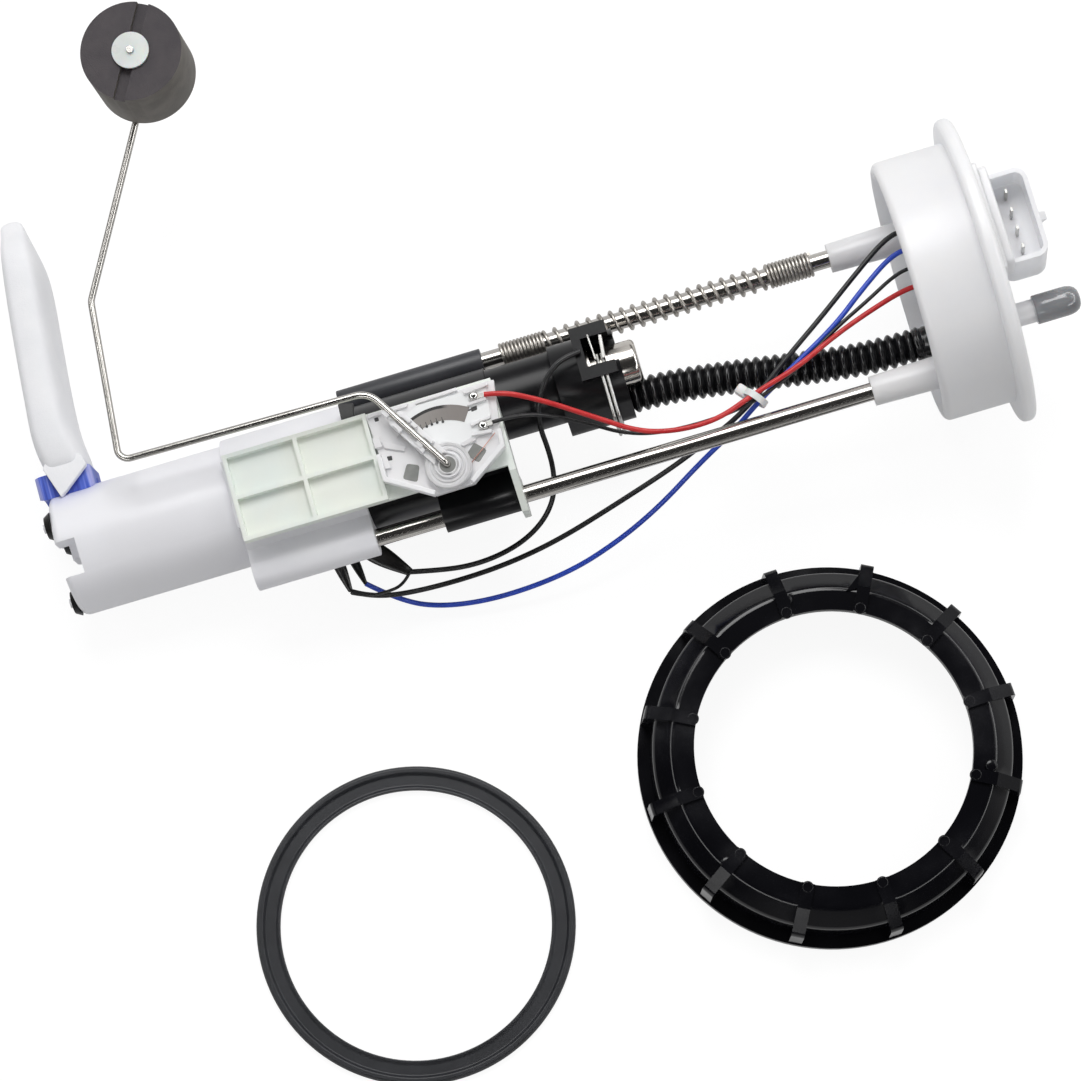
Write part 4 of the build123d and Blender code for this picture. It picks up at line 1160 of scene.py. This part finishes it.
def makeSender(values):
    bm = bmesh.new()
    for outline, low, high in values["whites"]:
        slab(bm, outline, low, high, values["corner"])
    ribs = addPiece("senderRibs", settle(bm, onSender), "frame", body="carriage", sharp=35)
    soften(ribs, fineEdge)

    # painted shade over the holes, with the dots and their tails, in one black piece
    bm = bmesh.new()
    for outline, low, high in values["darks"]:
        slab(bm, outline, low, high, values["corner"])
    radius, height = values["dot"]
    aside, size, low, high = values["tail"]
    for z, x in values["dots"]:
        spot = Matrix.Translation((z, x, height))
        bmesh.ops.create_circle(bm, cap_ends=True, segments=14, radius=radius, matrix=spot)
        slab(bm, lozenge((z, x + aside), size), low, high)
    addPiece("senderInkAndHoleShade", settle(bm, onSender), "inkAndHoleShade", body="carriage", sharp=35)

    bm = bmesh.new()
    for outline in values["windows"]:
        slab(bm, outline, *values["windowHeights"], values["windowCorner"])
    addPiece("senderWindows", settle(bm, onSender), "window", body="carriage", sharp=35)

    start, end, radius = values["brush"]
    bm = bmesh.new()
    length = (Vector(end) - Vector(start)).length
    spunPiece(bm, [(radius, 0), (radius, length)], 10, facing(start, end))
    addPiece("senderBrush", settle(bm), "brushCopper", body="carriage", sharp=60)

    bm = bmesh.new()
    radius, height = values["ball"]
    for z, x in values["balls"]:
        flat = Matrix.Translation((z, x, height)) @ Matrix.Diagonal(values["ballShares"])
        bmesh.ops.create_uvsphere(bm, u_segments=24, v_segments=14, radius=radius, matrix=flat)
    addPiece("senderSolder", settle(bm, onSender), "solderTin", body="carriage", sharp=60)


makeSender(senderSet)

# Hub of the wiper carrier: its rings, and the claws of its arm beside the float wire
hubSet = {
    "centre": (-198.6, -20.2),
    "rings": [  # outer and inner radius, low, high
        (8.2, 6.9, 33.1, 33.5),
        (6.3, 5.3, 33.1, 33.7),
        (4.7, 3.1, 34.3, 34.6),
    ],
    "soft": 0.2,
    "well": (2.9, 34.65),  # radius, height
    "arm": (-20.0, 32.7),  # the way the float wire runs from the hub
    "claws": [  # middle, size, how far to the side
        ((-204.6, -10.0), (2.6, 1.5), 1.75),
        ((-213.2, 4.0), (2.8, 1.5), 1.75),
        ((-207.6, -4.6), (2.2, 1.4), -1.75),
    ],
    "clawHeights": (33.4, 36.9),
    "clawCorner": 0.3,
}


def makeHub(values):
    bm = bmesh.new()
    soft = values["soft"]
    for outer, inner, low, high in values["rings"]:
        top = high - soft
        profile = [(inner, low), (inner, top), (inner + soft, high), (outer - soft, high)]
        spunPiece(bm, [*profile, (outer, top), (outer, low), (inner, low)], 48)
    z, x = values["centre"]
    bmesh.ops.translate(bm, vec=(z, x, 0), verts=bm.verts)
    along = Vector(values["arm"]).normalized()
    across = along.orthogonal()
    turn = math.atan2(along.y, along.x)
    for middle, size, aside in values["claws"]:
        claw = lozenge(Vector(middle) + across * aside, size, turn)
        slab(bm, claw, *values["clawHeights"], values["clawCorner"])
    rings = addPiece("wiperRings", settle(bm, onSender), "frame", body="float_arm", sharp=35)
    soften(rings, fineEdge)
    bm = bmesh.new()
    radius, height = values["well"]
    spot = Matrix.Translation((z, x, height))
    bmesh.ops.create_circle(bm, cap_ends=True, segments=28, radius=radius, matrix=spot)
    addPiece("wiperWell", settle(bm, onSender), "window", body="float_arm", sharp=35)


makeHub(hubSet)
print("sender detailed")

# Two sprung blades that hold the regulator, seen in the opening of its cradle
bladeSet = {
    "blades": [  # middle, size, turn
        ((-139.2, 9.6), (0.7, 9.6), 0.05),
        ((-135.6, 8.8), (1.2, 8.6), -0.1),
    ],
    "heights": (12.0, 18.6),
    "corner": 0.2,
}


def makeBlades(values):
    bm = bmesh.new()
    for middle, size, turn in values["blades"]:
        slab(bm, lozenge(middle, size, turn), *values["heights"], values["corner"])
    blades = addPiece("clipBlades", settle(bm, onSender), "bladeTin", body="carriage", sharp=35)
    soften(blades, fineEdge)


makeBlades(bladeSet)

# Lock ring: moulded studs beside three of its ribs, a raised arrow and the ribs' rounded inner ends
ringSet = {
    "centre": (62.123, -118.1),
    "studs": [(91.5, 55.5), (337.4, 56.2), (211.5, 56.6)],  # angle, distance from the centre
    "stud": (2.3, 1.5, 24.3),  # radius, height, the deck it stands on
    "arrow": (63.0, [(56.2, 6.2), (58.2, 2.2), (64.2, 2.2)], 18.0, 25.3),  # angle, outline, heights
    "arrowCorner": 0.3,
    "ends": (12, 3.0, 51.2, 2.2, 24.4, 26.1),  # count, first angle, distance, radius, heights
    "endsSoft": 0.4,
}


def turned(angle):
    return Matrix.Rotation(math.radians(angle), 4, "Z")


def makeRingMarks(values):
    bm = bmesh.new()
    radius, rise, deck = values["stud"]
    dome = [(1, 0.55), (0.8, 0.9), (0.4, 1)]  # shares of the radius and of the height
    profile = [(radius, -0.5), *((radius * a, rise * b) for a, b in dome), (0.001, rise)]
    for angle, out in values["studs"]:
        spunPiece(bm, profile, 24, turned(angle) @ Matrix.Translation((out, 0, deck)))
    angle, outline, low, high = values["arrow"]
    arrow = bmesh.new()
    slab(arrow, outline, low, high, values["arrowCorner"])
    bm.from_mesh(settle(arrow, turned(angle)))
    count, first, out, radius, low, high = values["ends"]
    soft = values["endsSoft"]
    profile = [(radius, low), (radius, high - soft), (radius - soft, high), (0.001, high)]
    for step in range(count):
        angle = first + step * 360 / count
        spunPiece(bm, profile, 20, turned(angle) @ Matrix.Translation((out, 0, 0)))
    place = Matrix.Scale(0.001, 4) @ Matrix.Translation((*values["centre"], 0))
    soften(addPiece("ringMarks", settle(bm, place), "lock", body="lock_ring"), fineEdge)


makeRingMarks(ringSet)
print("blades and ring marks made")

# Studio: white floor that keeps a soft shadow, white world, and lamps at a plain level
studioSet = {
    "benchHalf": 6.0,
    "benchLevel": -0.0003,  # just under the pieces
    "floorTone": 0.16,
    "floorGlow": 0.9,
    "floorBounce": 0.72,
    "floorShine": 0.3,  # share of the white floor that metal shows
    "ambient": 0.46,
    "towards": (0.27, 0.963),  # the picture's upward direction on the bench
    "rise": (0.12, 0.5, 0.03, 0.2),  # the tent's light upwards: from, to, first and last
    "behind": (0.75, 1.0, 0.0, 0.25),  # the same, downwards
    "right": (0.4, (0.45, 0.9), (-0.6, 0.1)),  # light, and where it begins along X and upwards
    "ahead": (0.55, (-0.35, 0.1), (0.5, 0.72)),
    "strip": 5.0,  # bright edge of the tent, as glossy pieces show it
    "stripHeights": (0.58, 0.68, 0.03),  # low, high, softness
    "stripGap": (-0.26, 0.1, 0.1),  # where it is broken off along X
    "lamps": [  # name, place, size, watts
        ("keyLamp", (0.05, 0.8, 1.3), 0.75, 12.0),
        ("fillLamp", (0.95, 0.1, 1.0), 0.6, 1.6),
    ],
}


def makeWorld(values):
    # White to the camera, plain white light on dull pieces, a light tent with dark parts for shine
    world = bpy.data.worlds.new("whiteRoom")
    bpy.context.scene.world = world
    world.use_nodes = True
    tent = Nodes(world.node_tree)
    seen = tent.node("ShaderNodeLightPath", output="Is Camera Ray") + tent.node(
        "ShaderNodeLightPath", output="Is Transmission Ray"
    )
    glossy = tent.node("ShaderNodeLightPath", output="Is Glossy Ray")
    place = tent.node("ShaderNodeTexCoord", output="Generated")
    x, y, z = [tent.node("ShaderNodeSeparateXYZ", output=axis, i0=place) for axis in "XYZ"]
    side = values["towards"]
    upward = x * side[0] + y * side[1]

    def window(value, low, high, soft=0.06):
        # One between low and high, and fading out on both sides
        return tent.step(value, low - soft, low) * tent.step(value, high, high + soft, 1.0, 0.0)

    room = tent.step(upward, *values["rise"]) + tent.step(upward * -1, *values["behind"])
    light, across, along = values["right"]
    room = room + light * tent.step(x, *across) * tent.step(upward, *along)
    light, across, along = values["ahead"]
    room = room + light * window(x, *across) * tent.step(upward, *along)
    edge = window(z, *values["stripHeights"]) * (1 - window(x, *values["stripGap"]))
    room = room + values["strip"] * edge
    unseen = glossy * room + (1 - glossy) * values["ambient"]
    back = tent.tree.nodes["Background"]
    plug(tent.tree, back.inputs["Color"], (1, 1, 1))
    plug(tent.tree, back.inputs["Strength"], seen + (1 - seen) * unseen)


def makeBench(values):
    # The floor's own shade shows to the camera, and its light on the pieces is a plain white's
    bm = bmesh.new()
    bmesh.ops.create_grid(bm, x_segments=1, y_segments=1, size=values["benchHalf"])
    bmesh.ops.translate(bm, vec=(0, 0, values["benchLevel"]), verts=bm.verts)
    bench = bpy.data.objects.new("benchTop", settle(bm, Matrix.Identity(4)))
    bpy.context.scene.collection.objects.link(bench)
    paper = Finish("benchPaper")
    rays = [
        paper.node("ShaderNodeLightPath", output=ray + " Ray")
        for ray in ("Is Camera", "Is Transmission", "Is Glossy")
    ]
    shows = rays[0] + rays[1] + values["floorShine"] * rays[2]
    plain = paper.node("ShaderNodeBsdfDiffuse", Color=(values["floorBounce"],) * 3)
    pale = paper.node("ShaderNodeBsdfDiffuse", Color=(values["floorTone"],) * 3)
    glow = paper.node("ShaderNodeEmission", Strength=values["floorGlow"])
    lit = paper.node("ShaderNodeAddShader", i0=pale, i1=glow)
    mix = paper.node("ShaderNodeMixShader", i0=shows, i1=plain, i2=lit)
    plug(paper.tree, paper.tree.nodes["Material Output"].inputs["Surface"], mix)
    paper.tree.nodes.remove(paper.shader)
    bench.data.materials.append(paper.material)


def makeLamps(values):
    for name, spot, size, watts in values["lamps"]:
        data = bpy.data.lights.new(name, "AREA")
        data.size = size
        data.energy = watts
        lamp = bpy.data.objects.new(name, data)
        lamp.location = spot
        lamp.rotation_euler = Vector(spot).to_track_quat("Z", "Y").to_euler()
        bpy.context.scene.collection.objects.link(lamp)


makeWorld(studioSet)
makeBench(studioSet)
makeLamps(studioSet)
bpy.context.scene.view_settings.view_transform = "Standard"
print("studio lit")
